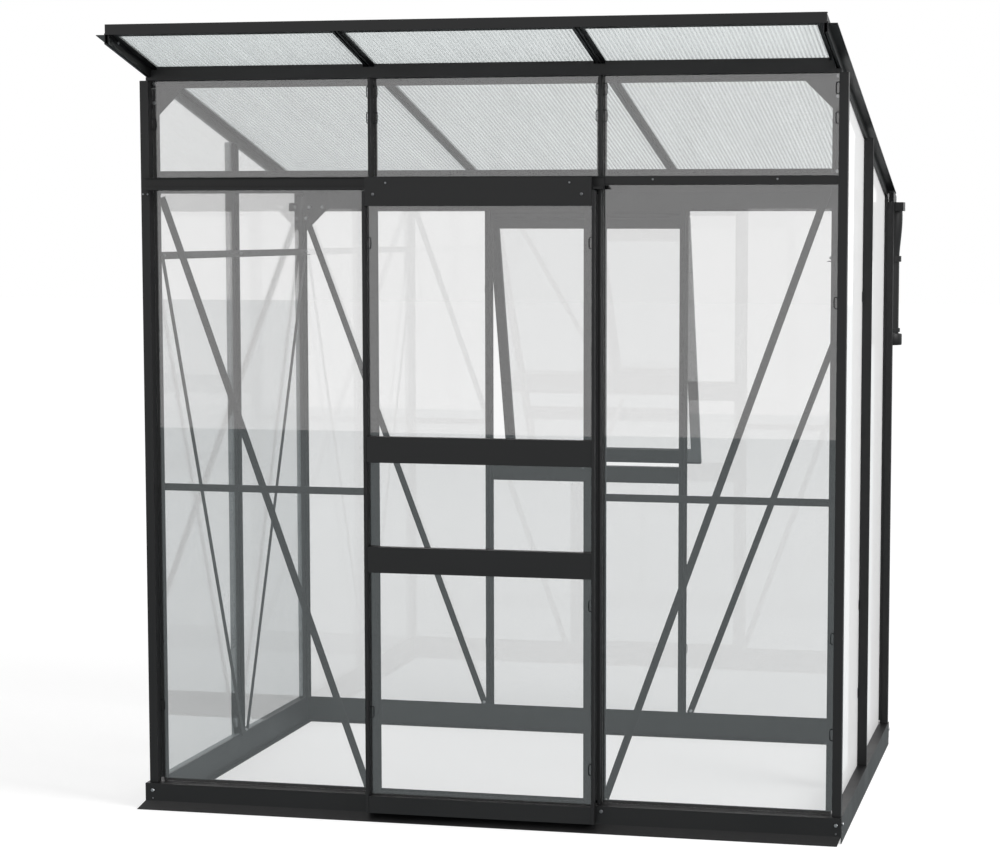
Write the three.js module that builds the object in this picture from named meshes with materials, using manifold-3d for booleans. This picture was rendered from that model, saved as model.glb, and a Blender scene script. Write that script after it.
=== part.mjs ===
// A small aluminium-framed greenhouse with one sloping roof, in millimetres, +Z up.
// The tall wall with the sliding door faces -Y, and the roof falls to the gutter on the +Y side.
// The origin is on the ground, at the middle of the front sill's foot.
import * as THREE from "three";
import { mergeVertices } from "three/addons/utils/BufferGeometryUtils.js";
import Module from "manifold-3d";

const wasm = await Module();
wasm.setup();

// Driving dimensions
const PITCH = 628; // from one glazing bar's centre line to the next
const CORNER_LINE = 22; // from a wall's outer face to the first centre line
const BAYS_WIDE = 3;
const BAYS_DEEP = 2;
const FRONT_HEIGHT = 2036; // underside of the roof bars at the front wall's outer face
const BACK_HEIGHT = 1719.6; // and at the back wall's outer face
const OVERHANG = 284; // roof edge in front of the front wall
const TAIL = 22; // roof bars past the back wall
const CLEAR = 0.3; // between pieces that seat on each other
const CUT = 5; // by which a cutting tool runs past what it cuts
const WELD = 1; // by which joined shapes run into each other
const SNAP = 0.001; // within which corners count as one
const ROUND_SIDES = 32; // facets of the pipe and wheels
const AXLE_SIDES = 16;
const ARC_STEPS = 20;

const WIDTH = BAYS_WIDE * PITCH + 2 * CORNER_LINE;
const DEPTH = BAYS_DEEP * PITCH + 2 * CORNER_LINE;
const FALL = (FRONT_HEIGHT - BACK_HEIGHT) / DEPTH;
const roofLine = (y) => FRONT_HEIGHT - FALL * y;

// Extruded sections
const SKIN = 2.5; // wall of the beams and sills
const RIB_WIDTH = 8;
const CHANNEL_WIDTH = 12;
const RIB_SKIN = 1.8;
const GLASS_SET = 27; // outer face of the frame to outer face of the glass
const GLASS = 3;
const GLASS_GAP = 0.5; // round the edge of a pane
const FLANGE_SET = GLASS_SET + GLASS + CLEAR;
const FLANGE = 2;
const FLANGE_BACK = FLANGE_SET + FLANGE;
const BAR_WIDTH = 27; // across the flange of a glazing bar
const SLOT_DEEP = 8; // bolt channel behind the flange
const SLOT_MOUTH = 5.4;
const SLOT_INSIDE = 8.4;
const INNER_FACE = FLANGE_BACK + SLOT_DEEP;
const CORNER_SQUARE = 24;
const CORNER_REACH = 44; // flange of a corner post, from the corner

// Base sills
const SILL_TOP = 70;
const SILL_UPSTAND = 10;
const SILL_PROUD = 10; // in front of the posts
const DRIP_TOP = 21;
const DRIP_REACH = 34;
const DRIP_REACH_LEFT = 27;
const SILL_PROUD_RIGHT = 2; // the right sill has no drip
const DRIP_TRIM = 7; // and its neighbours' drips end this far inside its corner
const SILL_FOOT = 20;
const FOOT_MIDDLE = FLANGE_SET + SILL_FOOT / 2;

// Eave beams, crossbar and gable bars
const BEAM_DROP = 29; // ledge below the roof line at the wall's outer face
const BEAM_LIP = 20; // flange below the ledge
const BEAM_END = 18; // beams' ends inside the side walls' faces
const GABLE_DROP = 20; // trough over the side glass below the roof line
const GABLE_SET = 20; // its outer face inside the wall's
const SIDE_RIB_DROP = 16; // top of a side post's rib, which stands outside the trough
const PANE_RISE = 14; // glass up inside a beam
const TRANSOM = 291; // from the front height to the crossbar's top
const CROSSBAR_HIGH = FRONT_HEIGHT - TRANSOM;
const CROSSBAR_DEEP = 23;
const CROSSBAR_LOW = CROSSBAR_HIGH - CROSSBAR_DEEP;
const CROSSBAR_LIP = 18;
const CROSSBAR_LAP = 20;

// Roof
const SEAT = 8; // top of a roof bar's seat above its underside
const SEAT_WIDTH = 32;
const SHEET = 6;
const ROOF_RIB = 8;
const CAP_WIDTH = 24;
const CAP = 2;
const EDGE_OUT = 3; // edge bars' flanges outside the side walls
const EDGE_FLANGE = 4; // and their tops above the roof line
const EDGE_RIB = 23; // edge bars' ribs inside the side walls' faces
const EDGE_IN = 50; // and the inner edges of their seats
const FASCIA_LOW = 3;
const FASCIA_HIGH = 30;
const FASCIA_LIP = 16;
const FASCIA_LEG = 25; // strip under the sheets' front edge
const FASCIA_INSET = 23; // fascia's ends inside the side walls' faces
const ROOF_RIB_HIGH = FASCIA_HIGH - SKIN - CLEAR;

// Gutter and downpipe
const GUTTER_DROP = 56.6; // gutter's floor below the back height
const GUTTER_LOW = BACK_HEIGHT - GUTTER_DROP;
const GUTTER_DEEP = 27;
const GUTTER_LIP = GUTTER_LOW + GUTTER_DEEP;
const GUTTER_OUT = 68;
const GUTTER_END = 27; // past the side walls
const PIPE_OUT = 39; // pipe centre behind the back wall
const PIPE_IN = 13; // pipe centre inside the side wall's face
const PIPE_SWING = 8; // outlet bend sideways
const PIPE_R = 26.5;
const PIPE_BORE = 20;
const BEND_R = 28.5;
const BEND_WAIST_R = 27.5;
const BEND_LONG = 138;
const BEND_LOW = GUTTER_LOW - BEND_LONG;
const COLLAR_R = 32.5;
const COLLAR_LONG = 18;
const COLLAR_LOW = BEND_LOW - COLLAR_LONG;
const PIPE_LONG = 205; // between the collars
const LOWER_COLLAR_R = 31;
const LOWER_COLLAR_LONG = 12;
const LOWER_COLLAR_TOP = COLLAR_LOW - PIPE_LONG;
const LOWER_COLLAR_LOW = LOWER_COLLAR_TOP - LOWER_COLLAR_LONG;
const SOCKET_R = 37;
const SOCKET_GAP = 5;
const SOCKET_LONG = 35;
const SOCKET_TOP = LOWER_COLLAR_LOW - SOCKET_GAP;
const SOCKET_LOW = SOCKET_TOP - SOCKET_LONG;
const SOCKET_ROUND = 6;

// Bracing
const STRIP = 20; // width of a flat brace
const STRIP_THICK = 2;
const ANGLE_LEG = 14;
const MID_BAR_LOW = 885;
const SIDE_RAIL_DROP = 196.6; // side walls' bars below the back height
const SIDE_RAIL_LOW = BACK_HEIGHT - SIDE_RAIL_DROP;
const BRACE_FOOT = 80;
const BRACE_HEAD_SET = 43; // braces' heads from the corner
const FRONT_LEFT_HEAD = 53; // each head below the crossbar's top or the back height,
const FRONT_LEFT_FOOT = 30; // and its foot's distance from the post
const FRONT_RIGHT_HEAD = 4;
const FRONT_RIGHT_FOOT = 10;
const BACK_LEFT_HEAD = 69.6;
const BACK_LEFT_FOOT = 14;
const BACK_RIGHT_HEAD = 105.6;
const BACK_RIGHT_FOOT = 28;
const SIDE_FOOT_SET = 16; // braces' feet beside the middle post
const GUSSET_REACH = 124;
const GUSSET_DROP = 90;
const GUSSET_EDGE = 11;
const GUSSET_BASE = 44;
const GUSSET_THICK = 2.3;

// Sliding door
const DOOR_LAP = 11; // over the left post's centre line
const DOOR_STOP = 5; // shut door's right edge inside the right post's centre line
const DOOR_FACE = 37; // outer face in front of the wall
const DOOR_BACK = 13;
const DOOR_LOW = 25;
const DOOR_FLANGE = 34;
const RAIL_SET = 1; // rails behind the stiles' faces
const RAIL_HIGH = 70;
const RAIL_CORE = 40;
const UPPER_RAIL = 1017; // centre heights of the cross rails
const LOWER_RAIL = 719;
const BOTTOM_RAIL_TOP = 72;
const BOTTOM_CORE = 60;
const BOTTOM_FLANGE = 82;

// Door track and wheels
const TRACK_DEEP = 34;
const TRACK_LOW = CROSSBAR_HIGH - TRACK_DEEP;
const TRACK_START = 12; // inside the left wall's face
const TRACK_OUT = 26.5;
const TRACK_LIP = 6;
const TRACK_HOOK = 10;
const TRACK_PAST = 14; // past the right door post
const WHEEL_R = 13.2;
const AXLE_HEIGHT = TRACK_LOW + SKIN + CLEAR + WHEEL_R;
const AXLE_R = 3;
const AXLE_BACK = 11; // end of an axle in front of the wall
const WHEEL_FRONT = 22;
const WHEEL_WIDE = 8;
const WHEEL_GROOVE = 1.5;
const WHEEL_SET = 57; // axle from the door's edge
const STILE_GAP = 3; // door's parts below the track's underside
const FOLD_DROP = 11;
const POCKET_DROP = 29;
const HEADER_DROP = 44;
const HEADER_FLANGE_DROP = 56;
const STILE_TOP = TRACK_LOW - STILE_GAP;
const HEADER_TOP = CROSSBAR_HIGH;
const HEADER_FOLD = TRACK_LOW - FOLD_DROP;
const HEADER_POCKET = TRACK_LOW - POCKET_DROP;
const HEADER_LOW = TRACK_LOW - HEADER_DROP;
const HEADER_FLANGE = TRACK_LOW - HEADER_FLANGE_DROP;

// Vent in the back wall
const VENT_SILL_LOW = 828;
const VENT_SILL_TOP = 859;
const VENT_HINGE_DROP = 11; // hinge line below the gutter
const VENT_HINGE_Z = GUTTER_LOW - VENT_HINGE_DROP;
const VENT_HINGE_OUT = 8;
const VENT_OPEN = THREE.MathUtils.degToRad(16.5);
const VENT_BEAD = 4.5;
const HINGE_SKIN = 2;
const VENT_NECK = 3;
const VENT_TOP = 12; // top rail below the hinge line
const VENT_FOOT_LAP = 14; // vent's lower edge below the sill
const VENT_LONG = VENT_HINGE_Z - VENT_SILL_LOW + VENT_FOOT_LAP;
const VENT_LAP = 11;
const VENT_BACK = 7; // inner face behind the hinge line when shut
const VENT_DEEP = 16;
const VENT_STILE = 31;
const VENT_TOP_RAIL = 32;
const VENT_LOW_RAIL = 46;
const VENT_REBATE = 8; // frame over the edge of its pane
const STAY_PIVOT_RISE = 60; // stay's pivot above the vent's lower edge
const STAY_PIVOT_IN = 11;
const LUG_THICK = 3;
const LUG_R = 6;
const LUG_TURN = THREE.MathUtils.degToRad(235);
const LUG_HOLE = 2.8;
const STAY_PIN = 2.5;
const STAY_LONG = 300;
const STAY_WIDE = 14;
const STAY_THICK = 2.5;
const STAY_HOLE = 4;
const STAY_HOLES = 4;
const STAY_HOLE_STEP = 45;
const STAY_HOLE_END = 12;
const PEG_SET = 15; // stay peg behind the wall's outer face
const PEG_R = 3;
const PEG_TIP_R = 1.2;
const STAY_CLEAR = 0.6;
const PEG_HIGH = 6;

const material = (color, roughness, metalness, opacity = 1) =>
  new THREE.MeshStandardMaterial({ color, roughness, metalness, opacity, transparent: opacity < 1 });
const coated = material(0x2d2d2e, 0.5, 0.3);
const glazing = material(0xd5dddd, 0.05, 0, 0.35);
const twinWall = material(0xd0d4d4, 0.3, 0, 0.6);
const pipePlastic = material(0x262626, 0.45, 0);
const nylon = material(0x3a3a3a, 0.5, 0);
const zinc = material(0x9a9c9e, 0.4, 0.9);

// A closed geometry as a solid that faces outwards.
function solid(geometry) {
  const bare = geometry.index ? geometry.toNonIndexed() : geometry.clone();
  bare.deleteAttribute("normal");
  bare.deleteAttribute("uv");
  const merged = mergeVertices(bare, SNAP);
  const vertProperties = merged.attributes.position.array;
  const triVerts = new Uint32Array(merged.index.array);
  const corner = (i) => new THREE.Vector3().fromArray(vertProperties, 3 * triVerts[i]);
  let volume = 0;
  for (let i = 0; i < triVerts.length; i += 3) {
    volume += corner(i).dot(corner(i + 1).cross(corner(i + 2)));
  }
  if (volume < 0) triVerts.reverse();
  return new wasm.Manifold(new wasm.Mesh({ numProp: 3, vertProperties, triVerts }));
}

const join = (first, ...others) => others.reduce((sum, other) => sum.add(other), first);

// A section of [a, b] points carried along a member: place(a, b, t) is its point at end t, 0 or 1.
function extrude(section, place, ...holes) {
  const wound = (outline, clockwise) => {
    const points = outline.map(([a, b]) => new THREE.Vector2(a, b));
    return THREE.ShapeUtils.isClockWise(points) === clockwise ? points : points.reverse();
  };
  const shape = new THREE.Shape(wound(section, false));
  shape.holes = holes.map((hole) => new THREE.Path(wound(hole, true)));
  const geometry = new THREE.ExtrudeGeometry(shape, { depth: 1, bevelEnabled: false });
  const at = geometry.getAttribute("position");
  for (let i = 0; i < at.count; i++) at.setXYZ(i, ...place(at.getX(i), at.getY(i), at.getZ(i)));
  return solid(geometry);
}

const rectangle = (a0, b0, a1, b1) => [
  [a0, b0],
  [a1, b0],
  [a1, b1],
  [a0, b1],
];

// In a wall, u runs along it, v goes inwards from its outer face, and z is the height.
const front = (u, v, z) => [u - WIDTH / 2, v, z];
const back = (u, v, z) => [u - WIDTH / 2, DEPTH - v, z];
const left = (u, v, z) => [v - WIDTH / 2, u, z];
const right = (u, v, z) => [WIDTH / 2 - v, u, z];
const lengthOf = (wall) => (wall === front || wall === back ? WIDTH : DEPTH);
const barLine = (n) => CORNER_LINE + n * PITCH;
const sized = (size, at) => (typeof size === "function" ? size(at) : size);

// A section of [across, v] points that stands at u; its ends may follow the roof.
function upright(wall, u, section, low, high, ...holes) {
  const place = (a, v, t) => {
    const [x, y] = wall(u + a, v, 0);
    return [x, y, sized(t ? high : low, y)];
  };
  return extrude(section, place, ...holes);
}

// A section of [v, z] points that lies along a wall; its ends may be mitred.
function crossways(wall, section, start, end, ...holes) {
  return extrude(section, (v, z, t) => wall(sized(t ? end : start, v), v, z), ...holes);
}

// An outline of [u, z] points between two depths of a wall.
function plate(wall, outline, near, far) {
  return extrude(outline, (u, z, t) => wall(u, t ? far : near, z));
}

// A section of [x, height above the roof line] points that follows the roof.
function sloping(section, x, start, end, ...holes) {
  const place = (a, h, t) => {
    const y = t ? end : start;
    return [x + a, y, roofLine(y) + h];
  };
  return extrude(section, place, ...holes);
}

// A flat strip between two points of a wall, with its ends cut square.
function strip(wall, from, to) {
  const along = new THREE.Vector2(to[0] - from[0], to[1] - from[1]).normalize();
  const side = new THREE.Vector2(-along.y, along.x).multiplyScalar(STRIP / 2);
  const outline = [
    [from[0] + side.x, from[1] + side.y],
    [from[0] - side.x, from[1] - side.y],
    [to[0] - side.x, to[1] - side.y],
    [to[0] + side.x, to[1] + side.y],
  ];
  const near = INNER_FACE + CLEAR;
  return plate(wall, outline, near, near + STRIP_THICK);
}

// The house is drawn from the front wall's outer face and set back so that the foot's middle is at 0.
const model = new THREE.Group();
const house = new THREE.Group();
house.position.y = -FOOT_MIDDLE;
model.add(house);

function add(name, shape, finish, parent = house) {
  const { vertProperties, triVerts } = shape.getMesh();
  const geometry = new THREE.BufferGeometry();
  geometry.setAttribute("position", new THREE.BufferAttribute(vertProperties, 3));
  geometry.setIndex(new THREE.BufferAttribute(triVerts, 1));
  geometry.computeVertexNormals();
  const mesh = new THREE.Mesh(geometry, finish);
  mesh.name = name;
  parent.add(mesh);
  return mesh;
}

// Base sills: a folded section with a drip at the ground, a shelf for the posts and glass,
// an upstand behind the glass and a foot on the ground. The right sill's face goes straight down.
const sills = {
  front: { wall: front, proud: SILL_PROUD, reach: DRIP_REACH, next: ["left", "right"] },
  back: { wall: back, proud: SILL_PROUD, reach: DRIP_REACH, next: ["left", "right"] },
  left: { wall: left, proud: SILL_PROUD, reach: DRIP_REACH_LEFT, next: ["front", "back"] },
  right: { wall: right, proud: SILL_PROUD_RIGHT, reach: -DRIP_TRIM, next: ["front", "back"] },
};

// Where a sill ends at depth v: on the mitre, then flush with its neighbour's face, and along the
// drip on the line to the neighbour's drip.
function mitre(own, neighbour, v) {
  const down = Math.max(0, -own.proud - v) / (own.reach - own.proud);
  const out = down * (neighbour.reach - neighbour.proud);
  return Math.max(v, -neighbour.proud) - out + CLEAR / 2;
}

function sill(own) {
  const inner = FLANGE_SET;
  const { wall, proud } = own;
  const reach = Math.max(own.reach, proud);
  const [start, end] = own.next.map((name) => sills[name]);
  const bend = (z) => (proud > SILL_PROUD_RIGHT ? [[-SILL_PROUD_RIGHT, z]] : []);
  const section = [
    [-reach, 0],
    [-proud, DRIP_TOP],
    [-proud, SILL_TOP],
    ...bend(SILL_TOP),
    [inner, SILL_TOP],
    [inner, SILL_TOP + SILL_UPSTAND],
    [inner + FLANGE, SILL_TOP + SILL_UPSTAND],
    [inner + FLANGE, SKIN],
    [inner + SILL_FOOT, SKIN],
    [inner + SILL_FOOT, 0],
    [inner, 0],
    [inner, SILL_TOP - SKIN],
    ...bend(SILL_TOP - SKIN),
    [SKIN - proud, SILL_TOP - SKIN],
    [SKIN - proud, DRIP_TOP],
    [SKIN - reach, 0],
  ];
  return crossways(
    wall,
    section,
    (v) => mitre(own, start, v),
    (v) => lengthOf(wall) - mitre(own, end, v),
  );
}
for (const [name, own] of Object.entries(sills)) add(`base_sill_${name}`, sill(own), coated);

// Glazing bars: a hollow rib outside the glass, a flange behind it and a bolt channel inside.
const POST_FOOT = SILL_TOP + CLEAR;
const FLANGE_FOOT = POST_FOOT + SILL_UPSTAND;
const rib = RIB_WIDTH / 2;
const channel = CHANNEL_WIDTH / 2;
const ribSection = rectangle(-rib, 0, rib, FLANGE_SET);
const ribHole = rectangle(RIB_SKIN - rib, RIB_SKIN, rib - RIB_SKIN, FLANGE_SET - RIB_SKIN);
const channelSection = [
  [channel, FLANGE_BACK],
  [channel, INNER_FACE],
  [SLOT_MOUTH / 2, INNER_FACE],
  [SLOT_MOUTH / 2, INNER_FACE - RIB_SKIN],
  [SLOT_INSIDE / 2, INNER_FACE - RIB_SKIN],
  [SLOT_INSIDE / 2, FLANGE_BACK],
  [-SLOT_INSIDE / 2, FLANGE_BACK],
  [-SLOT_INSIDE / 2, INNER_FACE - RIB_SKIN],
  [-SLOT_MOUTH / 2, INNER_FACE - RIB_SKIN],
  [-SLOT_MOUTH / 2, INNER_FACE],
  [-channel, INNER_FACE],
  [-channel, FLANGE_BACK],
  [-BAR_WIDTH / 2, FLANGE_BACK],
  [-BAR_WIDTH / 2, FLANGE_SET],
  [BAR_WIDTH / 2, FLANGE_SET],
  [BAR_WIDTH / 2, FLANGE_BACK],
];
function glazingBar(wall, u, ribTop, flangeTop) {
  return join(
    upright(wall, u, ribSection, POST_FOOT, ribTop, ribHole),
    upright(wall, u, channelSection, FLANGE_FOOT, flangeTop),
  );
}

const FRONT_LEDGE = FRONT_HEIGHT - BEAM_DROP;
const BACK_LEDGE = BACK_HEIGHT - BEAM_DROP;
const sideRibTop = (y) => roofLine(y) - SIDE_RIB_DROP;
const sideFlangeTop = (y) => roofLine(y) - GABLE_DROP - CLEAR;
const wallTops = new Map([
  [front, [FRONT_LEDGE - CLEAR, FRONT_LEDGE - BEAM_LIP - CLEAR]],
  [back, [BACK_LEDGE - CLEAR, BACK_LEDGE - BEAM_LIP - CLEAR]],
  [left, [sideRibTop, sideFlangeTop]],
  [right, [sideRibTop, sideFlangeTop]],
]);

// Door posts, notched round the crossbar, which runs through outside their flanges.
const crossbarNotch = extrude(
  rectangle(-CUT, CROSSBAR_LOW - CLEAR, GLASS_SET, CROSSBAR_HIGH + CLEAR),
  (v, z, t) => front(t * WIDTH, v, z),
);
add("door_post_left", glazingBar(front, barLine(1), ...wallTops.get(front)).subtract(crossbarNotch), coated);
add("door_post_right", glazingBar(front, barLine(2), ...wallTops.get(front)).subtract(crossbarNotch), coated);
add("back_post_left", glazingBar(back, barLine(1), ...wallTops.get(back)), coated);
add("back_post_right", glazingBar(back, barLine(2), ...wallTops.get(back)), coated);
for (const [name, wall] of Object.entries({ left, right })) {
  const underTrough = extrude(
    rectangle(-rib - CUT, GABLE_SET - CLEAR, rib + CUT, FLANGE_SET + CUT),
    (along, v, t) => {
      const [x, y] = wall(barLine(1) + along, v, 0);
      return [x, y, t ? roofLine(y) : sideFlangeTop(y)];
    },
  );
  const post = glazingBar(wall, barLine(1), ...wallTops.get(wall)).subtract(underTrough);
  add(`side_post_${name}`, post, coated);
}

// Corner posts: a hollow square outside, flanges behind both panes and a gusset under the eave beam.
// Each is drawn in the left corner of its front or back wall and mirrored for the right.
function cornerPost(wall, side) {
  const [squareTop] = wallTops.get(wall);
  const across = (u) => (side < 0 ? u : WIDTH - u);
  const ledge = wall === front ? FRONT_LEDGE : BACK_LEDGE;
  const stand = (section, low, high, ...holes) =>
    extrude(
      section,
      (u, v, t) => {
        const [x, y] = wall(across(u), v, 0);
        return [x, y, sized(t ? high : low, y)];
      },
      ...holes,
    );
  const square = stand(
    rectangle(0, 0, CORNER_SQUARE, CORNER_SQUARE),
    POST_FOOT,
    squareTop,
    rectangle(RIB_SKIN, RIB_SKIN, CORNER_SQUARE - RIB_SKIN, CORNER_SQUARE - RIB_SKIN),
  );
  const flanges = [
    [CORNER_SQUARE - FLANGE, CORNER_SQUARE - RIB_SKIN],
    [CORNER_SQUARE, CORNER_SQUARE - RIB_SKIN],
    [CORNER_SQUARE, FLANGE_SET],
    [CORNER_REACH, FLANGE_SET],
    [CORNER_REACH, FLANGE_BACK],
    [INNER_FACE, FLANGE_BACK],
    [INNER_FACE, INNER_FACE],
    [FLANGE_BACK, INNER_FACE],
    [FLANGE_BACK, CORNER_REACH],
    [FLANGE_SET, CORNER_REACH],
    [FLANGE_SET, FLANGE_BACK],
    [CORNER_SQUARE - FLANGE, FLANGE_BACK],
  ];
  const lowest = wall === front ? CORNER_REACH : DEPTH;
  const flangeTop = Math.min(sideFlangeTop(lowest), ledge - BEAM_LIP - CLEAR);
  const slotHole = rectangle(
    FLANGE_BACK + RIB_SKIN,
    FLANGE_BACK + RIB_SKIN,
    INNER_FACE - RIB_SKIN,
    INNER_FACE - RIB_SKIN,
  );
  const inside = stand(flanges, FLANGE_FOOT, flangeTop, slotHole);
  const top = ledge - CLEAR;
  const gusset = [
    [FLANGE_BACK + RIB_SKIN, top - GUSSET_DROP],
    [GUSSET_BASE, top - GUSSET_DROP],
    [GUSSET_REACH, top - GUSSET_EDGE],
    [GUSSET_REACH, top],
    [FLANGE_BACK + RIB_SKIN, top],
  ];
  const near = FLANGE_BACK + CLEAR;
  const corner = extrude(gusset, (u, z, t) => wall(across(u), near + t * GUSSET_THICK, z));
  return join(square, inside, corner);
}
add("corner_post_front_left", cornerPost(front, -1), coated);
add("corner_post_front_right", cornerPost(front, 1), coated);
add("corner_post_back_left", cornerPost(back, -1), coated);
add("corner_post_back_right", cornerPost(back, 1), coated);

// Eave beams: an inverted trough over the glass, cut away where the roof bars cross.
function eaveBeam(wall, ledge) {
  const top = (v) => roofLine(wall(0, v, 0)[1]) + SEAT - CLEAR;
  const section = [
    [0, ledge],
    [0, top(0)],
    [FLANGE_BACK, top(FLANGE_BACK)],
    [FLANGE_BACK, ledge - BEAM_LIP],
    [FLANGE_SET, ledge - BEAM_LIP],
    [FLANGE_SET, top(FLANGE_SET) - SKIN],
    [SKIN, top(SKIN) - SKIN],
    [SKIN, ledge + SKIN],
    [GLASS_SET - CLEAR, ledge + SKIN],
    [GLASS_SET - CLEAR, ledge],
  ];
  return crossways(wall, section, BEAM_END, WIDTH - BEAM_END);
}
const midSeat = SEAT_WIDTH / 2 + CLEAR;
const notch = (u0, u1, low) =>
  sloping(
    rectangle(u0, low - CLEAR, u1, ROOF_RIB_HIGH + CUT),
    -WIDTH / 2,
    -OVERHANG,
    DEPTH + TAIL + CUT,
  );
const roofNotches = join(
  notch(BEAM_END - CUT, FLANGE_BACK + CLEAR, -GABLE_DROP),
  notch(WIDTH - FLANGE_BACK - CLEAR, WIDTH - BEAM_END + CUT, -GABLE_DROP),
  notch(BEAM_END, EDGE_IN + CLEAR, 0),
  notch(WIDTH - EDGE_IN - CLEAR, WIDTH - BEAM_END, 0),
  notch(barLine(1) - midSeat, barLine(1) + midSeat, 0),
  notch(barLine(2) - midSeat, barLine(2) + midSeat, 0),
);
add("eave_beam_front", eaveBeam(front, FRONT_LEDGE).subtract(roofNotches), coated);

// The back beam carries the gutter, with its end caps and outlet, and the vent's hinge socket.
const ventFrom = barLine(1) - VENT_LAP;
const ventTo = barLine(2) + VENT_LAP;
const gutterBack = [
  [-SKIN, GUTTER_LIP - WELD],
  [0, GUTTER_LIP - WELD],
  [0, BACK_LEDGE],
  [WELD, BACK_LEDGE],
  [WELD, BACK_HEIGHT - FALL * SKIN - SKIN],
  [-SKIN, BACK_HEIGHT - FALL * SKIN - SKIN],
];
const gutterSection = [
  [0, GUTTER_LOW],
  [0, GUTTER_LIP],
  [-SKIN, GUTTER_LIP],
  [-SKIN, GUTTER_LOW + SKIN],
  [SKIN - GUTTER_OUT, GUTTER_LOW + SKIN],
  [SKIN - GUTTER_OUT, GUTTER_LIP],
  [-GUTTER_OUT, GUTTER_LIP],
  [-GUTTER_OUT, GUTTER_LOW],
];
const capSection = rectangle(-GUTTER_OUT, GUTTER_LOW, 0, GUTTER_LIP);
const gutter = crossways(back, gutterSection, -GUTTER_END, WIDTH + GUTTER_END);
const capLeft = crossways(back, capSection, -GUTTER_END, SKIN - GUTTER_END);
const capRight = crossways(back, capSection, WIDTH + GUTTER_END - SKIN, WIDTH + GUTTER_END);
const pipeX = WIDTH / 2 - PIPE_IN;
const pipeY = DEPTH + PIPE_OUT;
const outlet = new THREE.CylinderGeometry(PIPE_BORE, PIPE_BORE, GUTTER_LIP - GUTTER_LOW, ROUND_SIDES);
outlet.rotateX(Math.PI / 2);
outlet.translate(pipeX + PIPE_SWING, pipeY, GUTTER_LOW);

// The hinge socket grips the vent's round bead and opens downwards and outwards.
const socketInner = VENT_BEAD + CLEAR;
const socketOuter = socketInner + HINGE_SKIN;
const SOCKET_FROM = THREE.MathUtils.degToRad(-20);
const SOCKET_TO = THREE.MathUtils.degToRad(245);
const arc = (radius, from, to) =>
  Array.from({ length: ARC_STEPS + 1 }, (_, i) => {
    const angle = from + ((to - from) * i) / ARC_STEPS;
    return [radius * Math.cos(angle), radius * Math.sin(angle)];
  });
const socketSection = [
  ...arc(socketOuter, SOCKET_FROM, SOCKET_TO),
  ...arc(socketInner, SOCKET_TO, SOCKET_FROM),
];
const hingeY = DEPTH + VENT_HINGE_OUT;
const alongVent = (y, z, t) => [
  (t ? ventTo : ventFrom) - WIDTH / 2,
  hingeY + y,
  VENT_HINGE_Z + z,
];
const hingeWeb = rectangle(
  -HINGE_SKIN,
  socketInner + WELD,
  HINGE_SKIN,
  GUTTER_LOW + WELD - VENT_HINGE_Z,
);
const backBeam = join(
  eaveBeam(back, BACK_LEDGE).subtract(roofNotches),
  crossways(back, gutterBack, FLANGE_BACK + CLEAR, WIDTH - FLANGE_BACK - CLEAR).subtract(roofNotches),
  gutter,
  capLeft,
  capRight,
  extrude(socketSection, alongVent),
  extrude(hingeWeb, alongVent),
).subtract(solid(outlet));
add("eave_beam_back", backBeam, coated);

// Crossbar under the transom panes: its rib runs through, its flanges stop at the door posts.
const crossbarRib = crossways(
  front,
  rectangle(0, CROSSBAR_LOW, GLASS_SET - CLEAR, CROSSBAR_HIGH),
  CORNER_SQUARE + CLEAR,
  WIDTH - CORNER_SQUARE - CLEAR,
  rectangle(SKIN, CROSSBAR_LOW + SKIN, GLASS_SET - CLEAR - SKIN, CROSSBAR_HIGH - SKIN),
);
const crossbarFlange = [
  [GLASS_SET - CLEAR - WELD, CROSSBAR_LOW],
  [FLANGE_SET, CROSSBAR_LOW],
  [FLANGE_SET, CROSSBAR_LOW - CROSSBAR_LAP],
  [FLANGE_BACK, CROSSBAR_LOW - CROSSBAR_LAP],
  [FLANGE_BACK, CROSSBAR_HIGH + CROSSBAR_LIP],
  [FLANGE_SET, CROSSBAR_HIGH + CROSSBAR_LIP],
  [FLANGE_SET, CROSSBAR_HIGH],
  [GLASS_SET - CLEAR - WELD, CROSSBAR_HIGH],
];
const barHalf = BAR_WIDTH / 2 + CLEAR;
const bayEdges = [
  [CORNER_REACH + CLEAR, barLine(1) - barHalf],
  [barLine(1) + barHalf, barLine(2) - barHalf],
  [barLine(2) + barHalf, WIDTH - CORNER_REACH - CLEAR],
];
const crossbarFlanges = bayEdges.map(([from, to]) => crossways(front, crossbarFlange, from, to));
add("front_crossbar", join(crossbarRib, ...crossbarFlanges), coated);

// Door track: a channel along the outside of the crossbar, with a lip that keeps the wheels in.
const trackSection = [
  [-CLEAR, TRACK_LOW],
  [-CLEAR, CROSSBAR_HIGH],
  [-CLEAR - TRACK_HOOK, CROSSBAR_HIGH],
  [-CLEAR - TRACK_HOOK, CROSSBAR_HIGH - SKIN],
  [-CLEAR - SKIN, CROSSBAR_HIGH - SKIN],
  [-CLEAR - SKIN, TRACK_LOW + SKIN],
  [SKIN - TRACK_OUT, TRACK_LOW + SKIN],
  [SKIN - TRACK_OUT, TRACK_LOW + TRACK_LIP],
  [-TRACK_OUT, TRACK_LOW + TRACK_LIP],
  [-TRACK_OUT, TRACK_LOW],
];
add("door_track", crossways(front, trackSection, TRACK_START, barLine(2) + TRACK_PAST), coated);

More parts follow.
